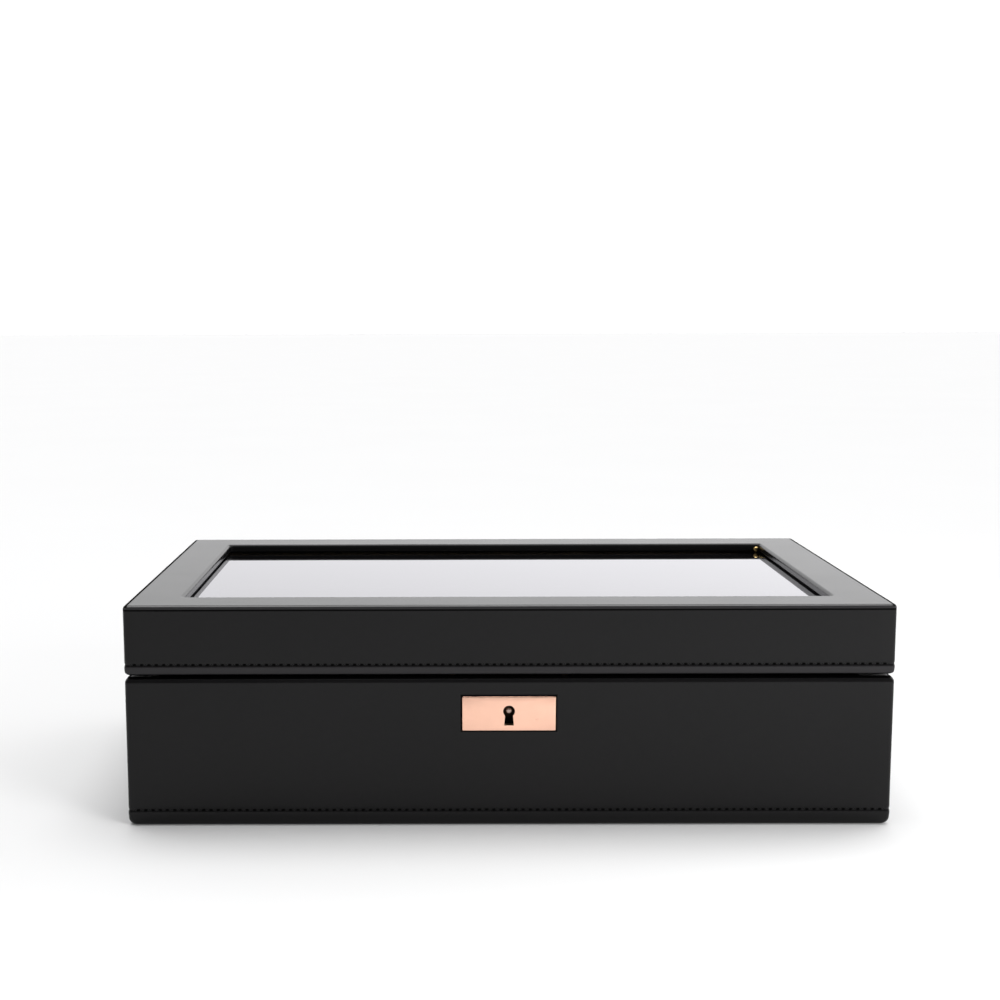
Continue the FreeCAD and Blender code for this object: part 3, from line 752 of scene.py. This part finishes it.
def base_cover(sizes, colours):
    """Leather round the base: turned in under the walls and over the rim."""
    thick, rim_r = sizes.leather, sizes.base_rim_radius
    foot_in, foot_up = sizes.foot_inset, sizes.foot_height
    seam = BASE_FOOT + sizes.base_seam
    lowest = 0.15 * MM  # the foot's rounding stays this far above the table
    turned = 2.2 * MM  # where the leather's inner face leaves the wall for the rim
    inside_foot = BASE_FOOT + thick
    inside_rim = BASE_RIM - thick
    section = [(WALL_INSIDE, BASE_FOOT), (foot_in + 4 * MM, BASE_FOOT)]
    section += [(foot_in + 1.5 * MM, lowest + 0.1 * MM)]
    section += [(foot_in * inset, lowest + foot_up * height) for inset, height in arc((1, 1), 1, 270, 180, 7)]
    section += seam_profile(sizes, seam)
    section += [(0, BASE_FOOT + height * MM) for height in (18, 26, 34, 42, 50, 57)]
    section += [(0, BASE_RIM - rim_r - SUPPORT)] + arc((rim_r, BASE_RIM - rim_r), rim_r, 180, 90, 6)
    section += [(inset * MM, BASE_RIM) for inset in (2.7, 5, 8)]
    section += [(WALL_INSIDE, BASE_RIM), (WALL_INSIDE, inside_rim), (turned, inside_rim)]
    section += [(thick, BASE_RIM - turned), (thick, 34 * MM), (thick, 4.5 * MM), (2.0 * MM, 2.4 * MM)]
    section += [(foot_in + 2 * MM, inside_foot), (WALL_INSIDE, inside_foot)]
    piece = sweep("base_cover", section, sizes.corner_radius * 0.9, COVER_SPACING)
    tools = []
    for side in HINGES:
        tools += hinge_tool(side, inside_rim, BASE_RIM + 3 * MM)
    low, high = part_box("lock_case")
    corner = (low.x - LOCK_GAP, low.y - LOCK_GAP, BASE_RIM - LOCK_SKIN)
    tools.append(block("tool", corner, (high.x + LOCK_GAP, high.y, BASE_RIM + MM)))
    tools += keyway_tool(0.5 * MM, -HALF_Y - MM, -HALF_Y + 2 * MM)
    cover_finish(piece, sizes, tools)
    # Painted shade along the base's rim under the lid, a slight painted highlight by the seam and a painted
    # shadow round the lock plate.
    rims = [(BASE_RIM / MM, 0.9, -1, 2.3)]
    material = leather_material(colours, sizes, "base_leather", seam, rims, 1.2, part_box("lock_plate"))
    return wear(piece, material, "base", ["base_leather"])


def lid_cover(sizes, colours):
    """Leather round the lid: from a thin hem inside, over the rim, the top and into the window."""
    thick, edge_r = sizes.leather, sizes.rim_radius
    seam = LID_RIM + sizes.lid_seam
    bed = GLASS_TOP + 0.03 * MM
    skived, hem = 0.3 * MM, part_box("lid_lining_front")[0].z
    turned = 2.2 * MM  # where the leather's inner face leaves the wall for the rim or the top
    inside_rim = LID_RIM + thick
    inside_top = LID_TOP - thick
    section = [(LID_INSIDE, hem), (LID_INSIDE + skived, hem - 0.1 * MM)]
    section += [(LID_INSIDE + skived, LID_RIM + 0.4 * MM), (LID_INSIDE - 0.2 * MM, LID_RIM)]
    section += [(6 * MM, LID_RIM), (edge_r + SUPPORT, LID_RIM)]
    section += arc((edge_r, LID_RIM + edge_r), edge_r, 270, 180, 5)
    section += seam_profile(sizes, seam)
    section += [(0, LID_TOP - depth * MM) for depth in (17, 12, 7)] + [(0, LID_TOP - edge_r - SUPPORT)]
    section += arc((edge_r, LID_TOP - edge_r), edge_r, 180, 90, 6)
    section += [(edge_r + SUPPORT, LID_TOP)] + [(inset * MM, LID_TOP) for inset in (4, 8, 12, 16)]
    section += [(WINDOW - edge_r - SUPPORT, LID_TOP)]
    section += arc((WINDOW - edge_r, LID_TOP - edge_r), edge_r, 90, 0, 6)
    section += [(WINDOW, LID_TOP - edge_r - SUPPORT), (WINDOW, bed + 0.75 * MM)]
    section += [(WINDOW - 0.7 * MM, bed + 0.7 * MM), (WINDOW - 0.75 * MM, bed)]
    section += [(LID_INSIDE, bed), (LID_INSIDE, bed + thick)]
    section += [(WINDOW - 1.4 * MM, bed + thick), (WINDOW - thick, LID_TOP - 2 * MM)]
    section += [(WINDOW - turned, inside_top), (turned, inside_top), (thick, LID_TOP - turned)]
    section += [(thick, LID_TOP - 14 * MM), (thick, LID_RIM + turned), (turned, inside_rim)]
    section += [(LID_INSIDE - 0.4 * MM, inside_rim), (LID_INSIDE - 0.05 * MM, LID_RIM + 1.4 * MM)]
    piece = sweep("lid_cover", section, sizes.corner_radius * 0.9, COVER_SPACING)
    tools = []
    for side in HINGES:
        tools += hinge_tool(side, LID_RIM - 3 * MM, inside_rim)
    low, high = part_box("strike_plate")
    corner = (low.x - LOCK_GAP, low.y - LOCK_GAP, LID_RIM - MM)
    tools.append(block("tool", corner, (high.x + LOCK_GAP, high.y + LOCK_GAP, LID_RIM + LOCK_SKIN)))
    cover_finish(piece, sizes, tools)
    # Painted shade at the lid's rim, beside the glass and just under the upper edge; a strong painted
    # highlight by the seam.
    rims = [(LID_RIM / MM, 0.8, -1, 1.2), (GLASS_TOP / MM, 1.2, 15, 30), (LID_TOP / MM - 1.9, 0.42, -1, 0.5)]
    material = leather_material(colours, sizes, "lid_leather", seam, rims, 5.0)
    return wear(piece, material, "lid", ["lid_leather"])


def one_stitch(sizes):
    """A short, plump stitch whose ends dip into the leather. It lies along X and faces -Y."""
    clear_selection()
    half = sizes.stitch_length / 2
    bpy.ops.mesh.primitive_uv_sphere_add(segments=8, ring_count=6, radius=1.0, rotation=(0, math.pi / 2, 0))
    bpy.context.object.scale = (sizes.thread / 2, sizes.thread / 2, half)
    stitch = named("stitch")
    edit(stitch)
    pick("VERT", lambda co: abs(co.x) > half * 0.8)
    bpy.ops.transform.translate(value=(0, sizes.thread * 0.55, 0))
    pick("VERT", lambda co: half * 0.4 < abs(co.x) < half * 0.7)
    bpy.ops.transform.resize(value=(1.12, 1.0, 1.25), center_override=(0, 0, 0))
    bpy.ops.object.mode_set(mode="OBJECT")
    return stitch


def stitching(name, sizes, height, material, body, seed):
    """A row of stitches round the box, each a little out of line with the next."""
    pitch = sizes.stitch_pitch
    stitch = one_stitch(sizes)
    points = len(stitch.data.vertices)
    rows = []
    for reach, across, turn in ((HALF_X, HALF_Y, 0), (HALF_Y, HALF_X, 90)):
        count = 2 * int((reach - sizes.corner_radius * 1.4) / pitch) + 1
        start = Vector((-(count - 1) / 2 * pitch, -across + sizes.seam_depth * 0.35, height))
        row = copy_of(stitch, "row", start)
        finish_with(
            row, "ARRAY", count=count, use_relative_offset=False, use_constant_offset=True,
            constant_offset_displace=(pitch, 0, 0),
        )
        rows.append(turned_copy(row, "row", turn))
        rows.append(turned_copy(row, "row", turn + 180))
        bpy.data.objects.remove(row)
    bpy.data.objects.remove(stitch)
    piece = join(rows, name)
    loose = random.Random(seed)
    for first in range(0, len(piece.data.vertices), points):
        own = piece.data.vertices[first:first + points]
        middle = sum((v.co for v in own), Vector()) / points
        slant, lift = loose.uniform(-0.07, 0.03), loose.uniform(-0.05, 0.05) * MM
        for vertex in own:
            along = (vertex.co - middle).to_2d().length
            away = (vertex.co - middle).to_2d().dot(Vector((-middle.y, middle.x)).normalized())
            vertex.co.z += lift + slant * math.copysign(along, away)
    smooth(piece, NO_CREASES)
    return wear(piece, material, body)


def room_lining(sizes, material):
    """Suede-covered boards that line the base and stand up as a lip."""
    low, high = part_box("base_lining_front")
    roll = sizes.suede_roll
    section = [(WALL_INSIDE, low.z), (WALL_INSIDE, 30 * MM), (WALL_INSIDE, high.z - roll)]
    section += arc((WALL_INSIDE + roll, high.z - roll), roll, 180, 90, 5)[1:]
    section += arc((ROOM - roll, high.z - roll), roll, 90, 0, 5)
    section += [(ROOM + 0.12 * MM, high.z - 3 * MM), (ROOM, high.z - 8 * MM), (ROOM, 40 * MM)]
    section += [(ROOM, 20 * MM), (ROOM, low.z)]
    piece = smooth(sweep("base_room_lining", section, 0.5 * MM, LINING_SPACING))
    nodes = [f"base_lining_{side}" for side in SIDES]
    return wear(piece, material, "base", nodes)


def lid_room_lining(sizes, material):
    """Suede-covered boards inside the lid, up to the glass."""
    low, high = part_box("lid_lining_front")
    roll = sizes.suede_roll
    inner = LID_INSIDE + (high.y - low.y)
    section = [(LID_INSIDE, high.z), (LID_INSIDE, low.z + roll)]
    section += arc((LID_INSIDE + roll, low.z + roll), roll, 180, 270, 5)[1:]
    section += arc((inner - roll, low.z + roll), roll, 270, 360, 5)
    section += [(inner, low.z + 6 * MM), (inner, high.z - 5 * MM), (inner, high.z)]
    piece = smooth(sweep("lid_room_lining", section, 0.5 * MM, LINING_SPACING))
    nodes = [f"lid_lining_{side}" for side in SIDES]
    return wear(piece, material, "lid", nodes)


def floor_panels(material):
    """Padded panels on the floor, one to a compartment, with pressed lines between them."""
    low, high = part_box("floor_lining")
    step = 0.55 * MM
    piece = block("floor_panels", low, (high.x, high.y, high.z - step))
    edit(piece)
    lines = [(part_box(f"cross_divider_{number}"), (1, 0, 0)) for number in range(1, CROSS_DIVIDERS + 1)]
    lines.append((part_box("long_divider"), (0, 1, 0)))
    for (line_low, line_high), across in lines:
        bpy.ops.mesh.select_all(action="SELECT")
        bpy.ops.mesh.bisect(plane_co=(line_low + line_high) / 2, plane_no=across)
    pick("FACE", lambda co: abs(co.z - (high.z - step)) < TOUCH)
    bpy.ops.mesh.inset(thickness=2.2 * MM, use_individual=True)
    bpy.ops.mesh.inset(thickness=1.2 * MM, depth=step, use_individual=True)
    bpy.ops.mesh.inset(thickness=4.0 * MM, use_individual=True)
    bpy.ops.object.mode_set(mode="OBJECT")
    finish_with(piece, "BEVEL", width=0.25 * MM, segments=2, limit_method="ANGLE")
    return wear(smooth(piece), material, "base", ["floor_lining"])


def foot_pad(material):
    """Felt under the base, pressed thinner along its edge."""
    low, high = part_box("base_pad")
    piece = block("foot_pad", low, high)
    edit(piece)
    pick("FACE", lambda co: abs(co.z - low.z) < TOUCH)
    bpy.ops.mesh.inset(thickness=1.5 * MM)
    pick("VERT", lambda co: co.z < high.z and max(abs(co.x) - high.x, abs(co.y) - high.y) > -TOUCH)
    bpy.ops.transform.translate(value=(0, 0, 0.5 * MM))
    bpy.ops.object.mode_set(mode="OBJECT")
    finish_with(piece, "BEVEL", width=0.3 * MM, segments=3, limit_method="ANGLE", angle_limit=0.3)
    return wear(smooth(piece), material, "base", ["base_pad"])


def rolled_board(name, low, high, roll):
    """A thin board whose upper edge is rolled over in suede."""
    piece = block(name, low, high)
    edit(piece)
    longest = 0 if high.x - low.x > high.y - low.y else 1
    half = (high[longest] - low[longest]) / 2
    pick_edges(lambda a, b: min(a.z, b.z) > high.z - TOUCH and abs(a[longest] - b[longest]) > half)
    bpy.ops.mesh.bevel(offset=roll, segments=5, affect="EDGES")
    bpy.ops.object.mode_set(mode="OBJECT")
    return piece


def dividers(material):
    """One long divider and four cross dividers, halved into each other."""
    low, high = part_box("long_divider")
    roll = (high.y - low.y) / 2 - 0.12 * MM
    lap = (low.z + high.z) / 2
    gap = 1.6 * MM
    spots = []
    for number in range(1, CROSS_DIVIDERS + 1):
        cross_low, cross_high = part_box(f"cross_divider_{number}")
        spots.append((cross_low.x + cross_high.x) / 2)
    long_piece = rolled_board("long_divider_suede", low, high, roll)
    for x in spots:
        cut(long_piece, block("tool", (x - gap, -5 * MM, low.z - MM), (x + gap, 5 * MM, lap + 0.1 * MM)))
    wear(smooth(heal(long_piece)), material, "base", ["long_divider"])
    low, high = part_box("cross_divider_1")
    first = rolled_board("cross_divider_suede_1", low, high, roll)
    tool_low = (low.x - MM, -gap, lap - 0.1 * MM)
    cut(first, block("tool", tool_low, (high.x + MM, gap, high.z + MM)))
    smooth(heal(first))
    for number in range(2, CROSS_DIVIDERS + 1):
        twin = copy_of(first, f"cross_divider_suede_{number}", (spots[number - 1] - spots[0], 0, 0))
        wear(twin, material, "base", [f"cross_divider_{number}"])
    wear(first, material, "base", ["cross_divider_1"])


def cushion_form(sizes, low, high):
    """The slack cushion before it's filled: a block with a round back and a softer foot."""
    back_r, foot_r, end_r = 13.0 * MM, 8.0 * MM, 2.2 * MM
    slack = Vector((sizes.cushion_slack,) * 3)
    low, high = low + slack, high - slack
    width = high.x - low.x
    piece = block("cushion_form", low, high)
    for level, radius in ((high.z, back_r), (low.z, foot_r)):
        edit(piece)
        pick_edges(lambda a, b: abs(a.z - level) + abs(b.z - level) < TOUCH and abs(a.x - b.x) > width / 2)
        bpy.ops.mesh.bevel(offset=radius, segments=8, affect="EDGES")
    for level in (low.x, high.x):
        pick("FACE", lambda co: abs(co.x - level) < TOUCH)
        bpy.ops.mesh.bevel(offset=end_r, segments=3, affect="EDGES")
    bpy.ops.object.mode_set(mode="OBJECT")
    return finish_with(piece, "REMESH", mode="VOXEL", voxel_size=sizes.cushion_voxel)


def fill(piece, limit):
    """Blows the cushion up as cloth and keeps each point within limit of its start."""
    middle = sum((v.co for v in piece.data.vertices), Vector()) / len(piece.data.vertices)
    to_large = Matrix.Scale(SIM_SCALE, 4) @ Matrix.Translation(-middle)
    piece.data.transform(to_large)
    slack = [v.co.copy() for v in piece.data.vertices]
    choose(piece)
    cloth = piece.modifiers.new("cloth", "CLOTH")
    cloth.settings.use_pressure = True
    cloth.settings.uniform_pressure_force = 4.0
    cloth.settings.effector_weights.gravity = 0.0
    scene = bpy.context.scene
    for step in range(1, SIM_FRAMES + 1):
        scene.frame_set(step)
    bpy.ops.object.modifier_apply(modifier="cloth")
    scene.frame_set(1)
    reach = limit * SIM_SCALE
    for vertex, start in zip(piece.data.vertices, slack):
        move = vertex.co - start
        if move.length > 0:
            vertex.co = start + move.normalized() * reach * math.tanh(move.length / reach)
    piece.data.transform(to_large.inverted())


def sew(piece, sizes):
    """Pulls in the seams between the band and the two end panels, with small puckers."""
    low = min(v.co.x for v in piece.data.vertices)
    high = max(v.co.x for v in piece.data.vertices)
    piece.data.update()
    normals = [v.normal.copy() for v in piece.data.vertices]
    for vertex, normal in zip(piece.data.vertices, normals):
        from_end = min(vertex.co.x - low, high - vertex.co.x)
        near = (from_end - sizes.cushion_seam) / (1.1 * MM)
        ripple = 0.75 + 0.25 * math.sin((vertex.co.y + vertex.co.z) / MM * 1.1)
        fold = math.exp(-((near / 3.2) ** 2)) * 0.12 * MM * math.sin((vertex.co.y - vertex.co.z) / MM * 0.9)
        pull = math.exp(-near * near) * 0.95 * MM * ripple
        if abs(normal.x) < 0.8:
            vertex.co -= normal * (pull + fold)
    piece.data.update()


def cushions(sizes, material):
    """Ten watch cushions: one is made, the others are copies."""
    low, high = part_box("watch_pillow_1")
    first = cushion_form(sizes, low, high)
    first.name = "cushion_1"
    first.data.name = "cushion_1"
    fill(first, sizes.cushion_slack * 0.95)
    finish_with(first, "SUBSURF", levels=1, render_levels=1)
    sew(first, sizes)
    foot = min(v.co.z for v in first.data.vertices)
    first.data.transform(Matrix.Translation((0, 0, low.z - foot)))
    smooth(first, NO_CREASES)
    pieces = [first]
    for number in range(2, COMPARTMENTS + 1):
        other_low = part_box(f"watch_pillow_{number}")[0]
        pieces.append(copy_of(first, f"cushion_{number}", other_low - low))
    for number, piece in enumerate(pieces, 1):
        wear(piece, material, f"pillow_{number}", [f"watch_pillow_{number}"])


def lock_plate(material):
    """The escutcheon: a bright plate with eased edges and a keyhole."""
    low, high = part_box("lock_plate")
    piece = block("keyhole_plate", low, high)
    edit(piece)
    pick_edges(lambda a, b: min(a.y, b.y) < low.y + TOUCH)
    bpy.ops.mesh.bevel(offset=0.42 * MM, segments=4, affect="EDGES")
    bpy.ops.object.mode_set(mode="OBJECT")
    for tool in keyway_tool(0.0, low.y - MM, high.y + MM):
        cut(piece, tool)
    return wear(smooth(heal(piece)), material, "base", ["lock_plate"])


# ---------------------------------------------------------------- operators


class PieceOperator:
    """What every operator here shares."""

    bl_options = {"REGISTER", "UNDO"}

    def execute(self, context):
        self.make(context.scene.watch_box_sizes, context.scene.watch_box_colours)
        return {"FINISHED"}


class WATCHBOX_OT_stage(PieceOperator, Operator):
    """Camera, floor, world and overhead light"""

    bl_idname = "watchbox.stage"
    bl_label = "Stage"

    def execute(self, context):
        studio = context.scene.watch_box_studio
        self.camera(context, studio)
        self.floor(studio)
        self.world(context, studio)
        self.overhead(studio)
        self.side_panel(studio)
        return {"FINISHED"}

    def camera(self, context, studio):
        """Sets the camera up."""
        data = bpy.data.cameras.new("camera")
        camera = bpy.data.objects.new("camera", data)
        context.scene.collection.objects.link(camera)
        forward = Vector(CAMERA_FORWARD)
        right = forward.cross(Vector(CAMERA_UP)).normalized()
        up = right.cross(forward).normalized()
        turn = Matrix((right, up, -forward.normalized())).transposed().to_4x4()
        camera.matrix_world = Matrix.Translation(CAMERA_PLACE) @ turn
        data.lens = studio.lens
        data.sensor_width = SENSOR_WIDTH
        data.shift_x, data.shift_y = CAMERA_SHIFT
        data.clip_start = 0.01
        data.clip_end = 50.0
        context.scene.camera = camera

    def floor(self, studio):
        """Lays the plain floor on the table plane."""
        clear_selection()
        bpy.ops.mesh.primitive_plane_add(size=40.0, location=(0, 0, 0))
        floor = named("floor")
        graph = Graph(bpy.data.materials.new("plain_floor"))
        place = graph.millimetres()
        cloud = graph.noise(place, 0.004, 2.0)
        base = graph.blend(cloud, shade(studio.floor, 0.99), shade(studio.floor, 1.01))
        floor.data.materials.append(
            graph.principled(Base_Color=base, Roughness=0.95, Specular_IOR_Level=0.0)
        )

    def world(self, context, studio):
        """Bright behind and above, darker on the camera's side; plain white to look at."""
        world = bpy.data.worlds.new("studio")
        context.scene.world = world
        graph = Graph(world)
        way = graph.node("ShaderNodeTexCoord", output="Generated")
        x, y, z = graph.split(way)
        behind = y.ramp(-0.1, 0.75)
        low = z.ramp(0.22, 0.55, 1.0, 0.0)
        light = studio.sky_front + behind * (studio.sky_top - studio.sky_front)
        light = light + behind * low * (studio.sky_back - studio.sky_top)
        light = light * (1 + x * 0.4) * x.ramp(0.2, 0.9, 1.0, 1.6) * x.ramp(-0.9, -0.25, 1.35, 1.0)
        seen = graph.node("ShaderNodeLightPath", output="Is Camera Ray")
        light = light * (1 - seen) + seen * 1.1
        tint = graph.blend(0.5, (1, 1, 1, 1), (0.985, 0.985, 1.0, 1.0))
        back = graph.node("ShaderNodeBackground", None, {"Color": tint, "Strength": light})
        graph.surface(back, "ShaderNodeOutputWorld")
        context.scene.view_settings.view_transform = "Standard"

    def overhead(self, studio):
        """Lights the stage evenly from a wide patch above, which leaves a soft shadow."""
        light = bpy.data.lights.new("overhead", "SUN")
        light.energy = studio.overhead
        light.angle = OVERHEAD_SPREAD
        self.hang("overhead", light, OVERHEAD_PLACE)

    def side_panel(self, studio):
        """Brightens the floor in front on the right, so that the front face shades to the left."""
        light = bpy.data.lights.new("side_panel", "AREA")
        light.energy = studio.side_light
        light.size = PANEL_SIZE
        panel = self.hang("side_panel", light, PANEL_PLACE)
        panel.visible_camera = False
        panel.visible_glossy = False

    def hang(self, name, light, place):
        """Puts a lamp in place, aimed at the middle of the box's foot."""
        lamp = bpy.data.objects.new(name, light)
        lamp.location = place
        lamp.rotation_euler = (-Vector(place)).to_track_quat("-Z", "Y").to_euler()
        bpy.context.scene.collection.objects.link(lamp)
        return lamp


class WATCHBOX_OT_covers(PieceOperator, Operator):
    """Leather covers of the base and the lid"""

    bl_idname = "watchbox.covers"
    bl_label = "Leather covers"

    def make(self, sizes, colours):
        base_cover(sizes, colours)
        lid_cover(sizes, colours)


class WATCHBOX_OT_stitching(PieceOperator, Operator):
    """Rows of stitches round the base and the lid"""

    bl_idname = "watchbox.stitching"
    bl_label = "Stitching"

    def make(self, sizes, colours):
        material = thread_material(colours)
        seed = bpy.context.scene.watch_box_studio.stitch_seed
        stitching("base_stitching", sizes, BASE_FOOT + sizes.base_seam, material, "base", seed)
        stitching("lid_stitching", sizes, LID_RIM + sizes.lid_seam, material, "lid", seed + 1)


class WATCHBOX_OT_linings(PieceOperator, Operator):
    """Suede linings, floor panels, dividers and the felt foot"""

    bl_idname = "watchbox.linings"
    bl_label = "Linings and dividers"

    def make(self, sizes, colours):
        suede = suede_material("lining_suede", colours.lining)
        room_lining(sizes, suede)
        lid_room_lining(sizes, suede)
        floor_panels(suede)
        dividers(suede)
        foot_pad(felt_material(colours))


class WATCHBOX_OT_cushions(PieceOperator, Operator):
    """Ten watch cushions"""

    bl_idname = "watchbox.cushions"
    bl_label = "Watch cushions"

    def make(self, sizes, colours):
        cushions(sizes, suede_material("cushion_suede", colours.cushion, 0.4))


class WATCHBOX_OT_boards(PieceOperator, Operator):
    """Fibreboard of the walls, rails and floor"""

    bl_idname = "watchbox.boards"
    bl_label = "Boards"

    def make(self, sizes, colours):
        material = board_material(colours)
        paint(material, "base_floor")
        for side in SIDES:
            paint(material, f"base_wall_{side}", f"lid_rail_{side}")


class WATCHBOX_OT_glazing(PieceOperator, Operator):
    """Glass and its pin"""

    bl_idname = "watchbox.glazing"
    bl_label = "Glazing"

    def make(self, sizes, colours):
        paint(glass_material(), "lid_glass")
        pin = metal_material("pin_brass", colours.brass, 0.16, (1, 1, 1), 0.2)
        paint(pin, "glazing_pin")


class WATCHBOX_OT_hardware(PieceOperator, Operator):
    """Lock, strike plate, hinges and screws"""

    bl_idname = "watchbox.hardware"
    bl_label = "Lock and hinges"

    def make(self, sizes, colours):
        lock_plate(metal_material("rose_gold_plating", colours.rose_gold, 0.20, (0.05, 1, 1), 0.10, 0.012))
        brass = metal_material("hinge_brass", colours.brass, 0.22, (0.06, 1, 1), 0.5)
        screws = metal_material("screw_brass", colours.brass, 0.26, (1, 0.2, 1), 0.7)
        steel = metal_material("lock_steel", colours.nickel, 0.28, (0.06, 1, 1), 0.6)
        spring = metal_material("spring_steel", shade(colours.nickel, 0.8)[:3], 0.32, (0.05, 1, 1), 0.9)
        for side in HINGES:
            paint(brass, f"hinge_{side}_base_leaf", f"hinge_{side}_lid_leaf", f"hinge_{side}_pin")
        paint(screws, "hinge_base_screws", "hinge_lid_screws", "lock_screws", "strike_screws")
        paint(steel, "lock_bolt")
        # Painted shade: the lock's case, cap plate and strike plate are darkened so that the keyhole and the
        # rim gap look shaded and show no glints.
        browned_and_shade = metal_material("browned_shade_steel", colours.browned_and_shade, 0.42, (0.06, 1, 1), 0.6)
        paint(browned_and_shade, "lock_case", "lock_cap_plate", "strike_plate")
        paint(metal_material("key_post_steel", colours.post, 0.22, (1, 1, 1), 0.5), "lock_key_post")
        paint(spring, "lock_detent_spring")


STEPS = (
    WATCHBOX_OT_stage,
    WATCHBOX_OT_covers,
    WATCHBOX_OT_stitching,
    WATCHBOX_OT_linings,
    WATCHBOX_OT_cushions,
    WATCHBOX_OT_boards,
    WATCHBOX_OT_glazing,
    WATCHBOX_OT_hardware,
)
GROUPS = (
    ("watch_box_sizes", WatchBoxSizes, "Sizes"),
    ("watch_box_colours", WatchBoxColours, "Colours"),
    ("watch_box_studio", WatchBoxStudio, "Studio"),
)


class WATCHBOX_PT_panel(Panel):
    """Lists the settings and the operators"""

    bl_idname = "WATCHBOX_PT_panel"
    bl_label = "Watch box"
    bl_space_type = "VIEW_3D"
    bl_region_type = "UI"
    bl_category = "Watch box"

    def draw(self, context):
        for attribute, group, title in GROUPS:
            box = self.layout.box()
            box.label(text=title)
            for name in group.__annotations__:
                box.prop(getattr(context.scene, attribute), name)
        for step in STEPS:
            self.layout.operator(step.bl_idname)


def register():
    for attribute, group, _ in GROUPS:
        bpy.utils.register_class(group)
        setattr(bpy.types.Scene, attribute, PointerProperty(type=group))
    for step in (*STEPS, WATCHBOX_PT_panel):
        bpy.utils.register_class(step)


def unregister():
    for step in (WATCHBOX_PT_panel, *reversed(STEPS)):
        bpy.utils.unregister_class(step)
    for attribute, group, _ in reversed(GROUPS):
        delattr(bpy.types.Scene, attribute)
        bpy.utils.unregister_class(group)


def main():
    register()
    bpy.ops.watchbox.stage()
    bpy.ops.watchbox.covers()
    bpy.ops.watchbox.stitching()
    bpy.ops.watchbox.linings()
    bpy.ops.watchbox.cushions()
    bpy.ops.watchbox.boards()
    bpy.ops.watchbox.glazing()
    bpy.ops.watchbox.hardware()


if __name__ == "__main__":
    main()
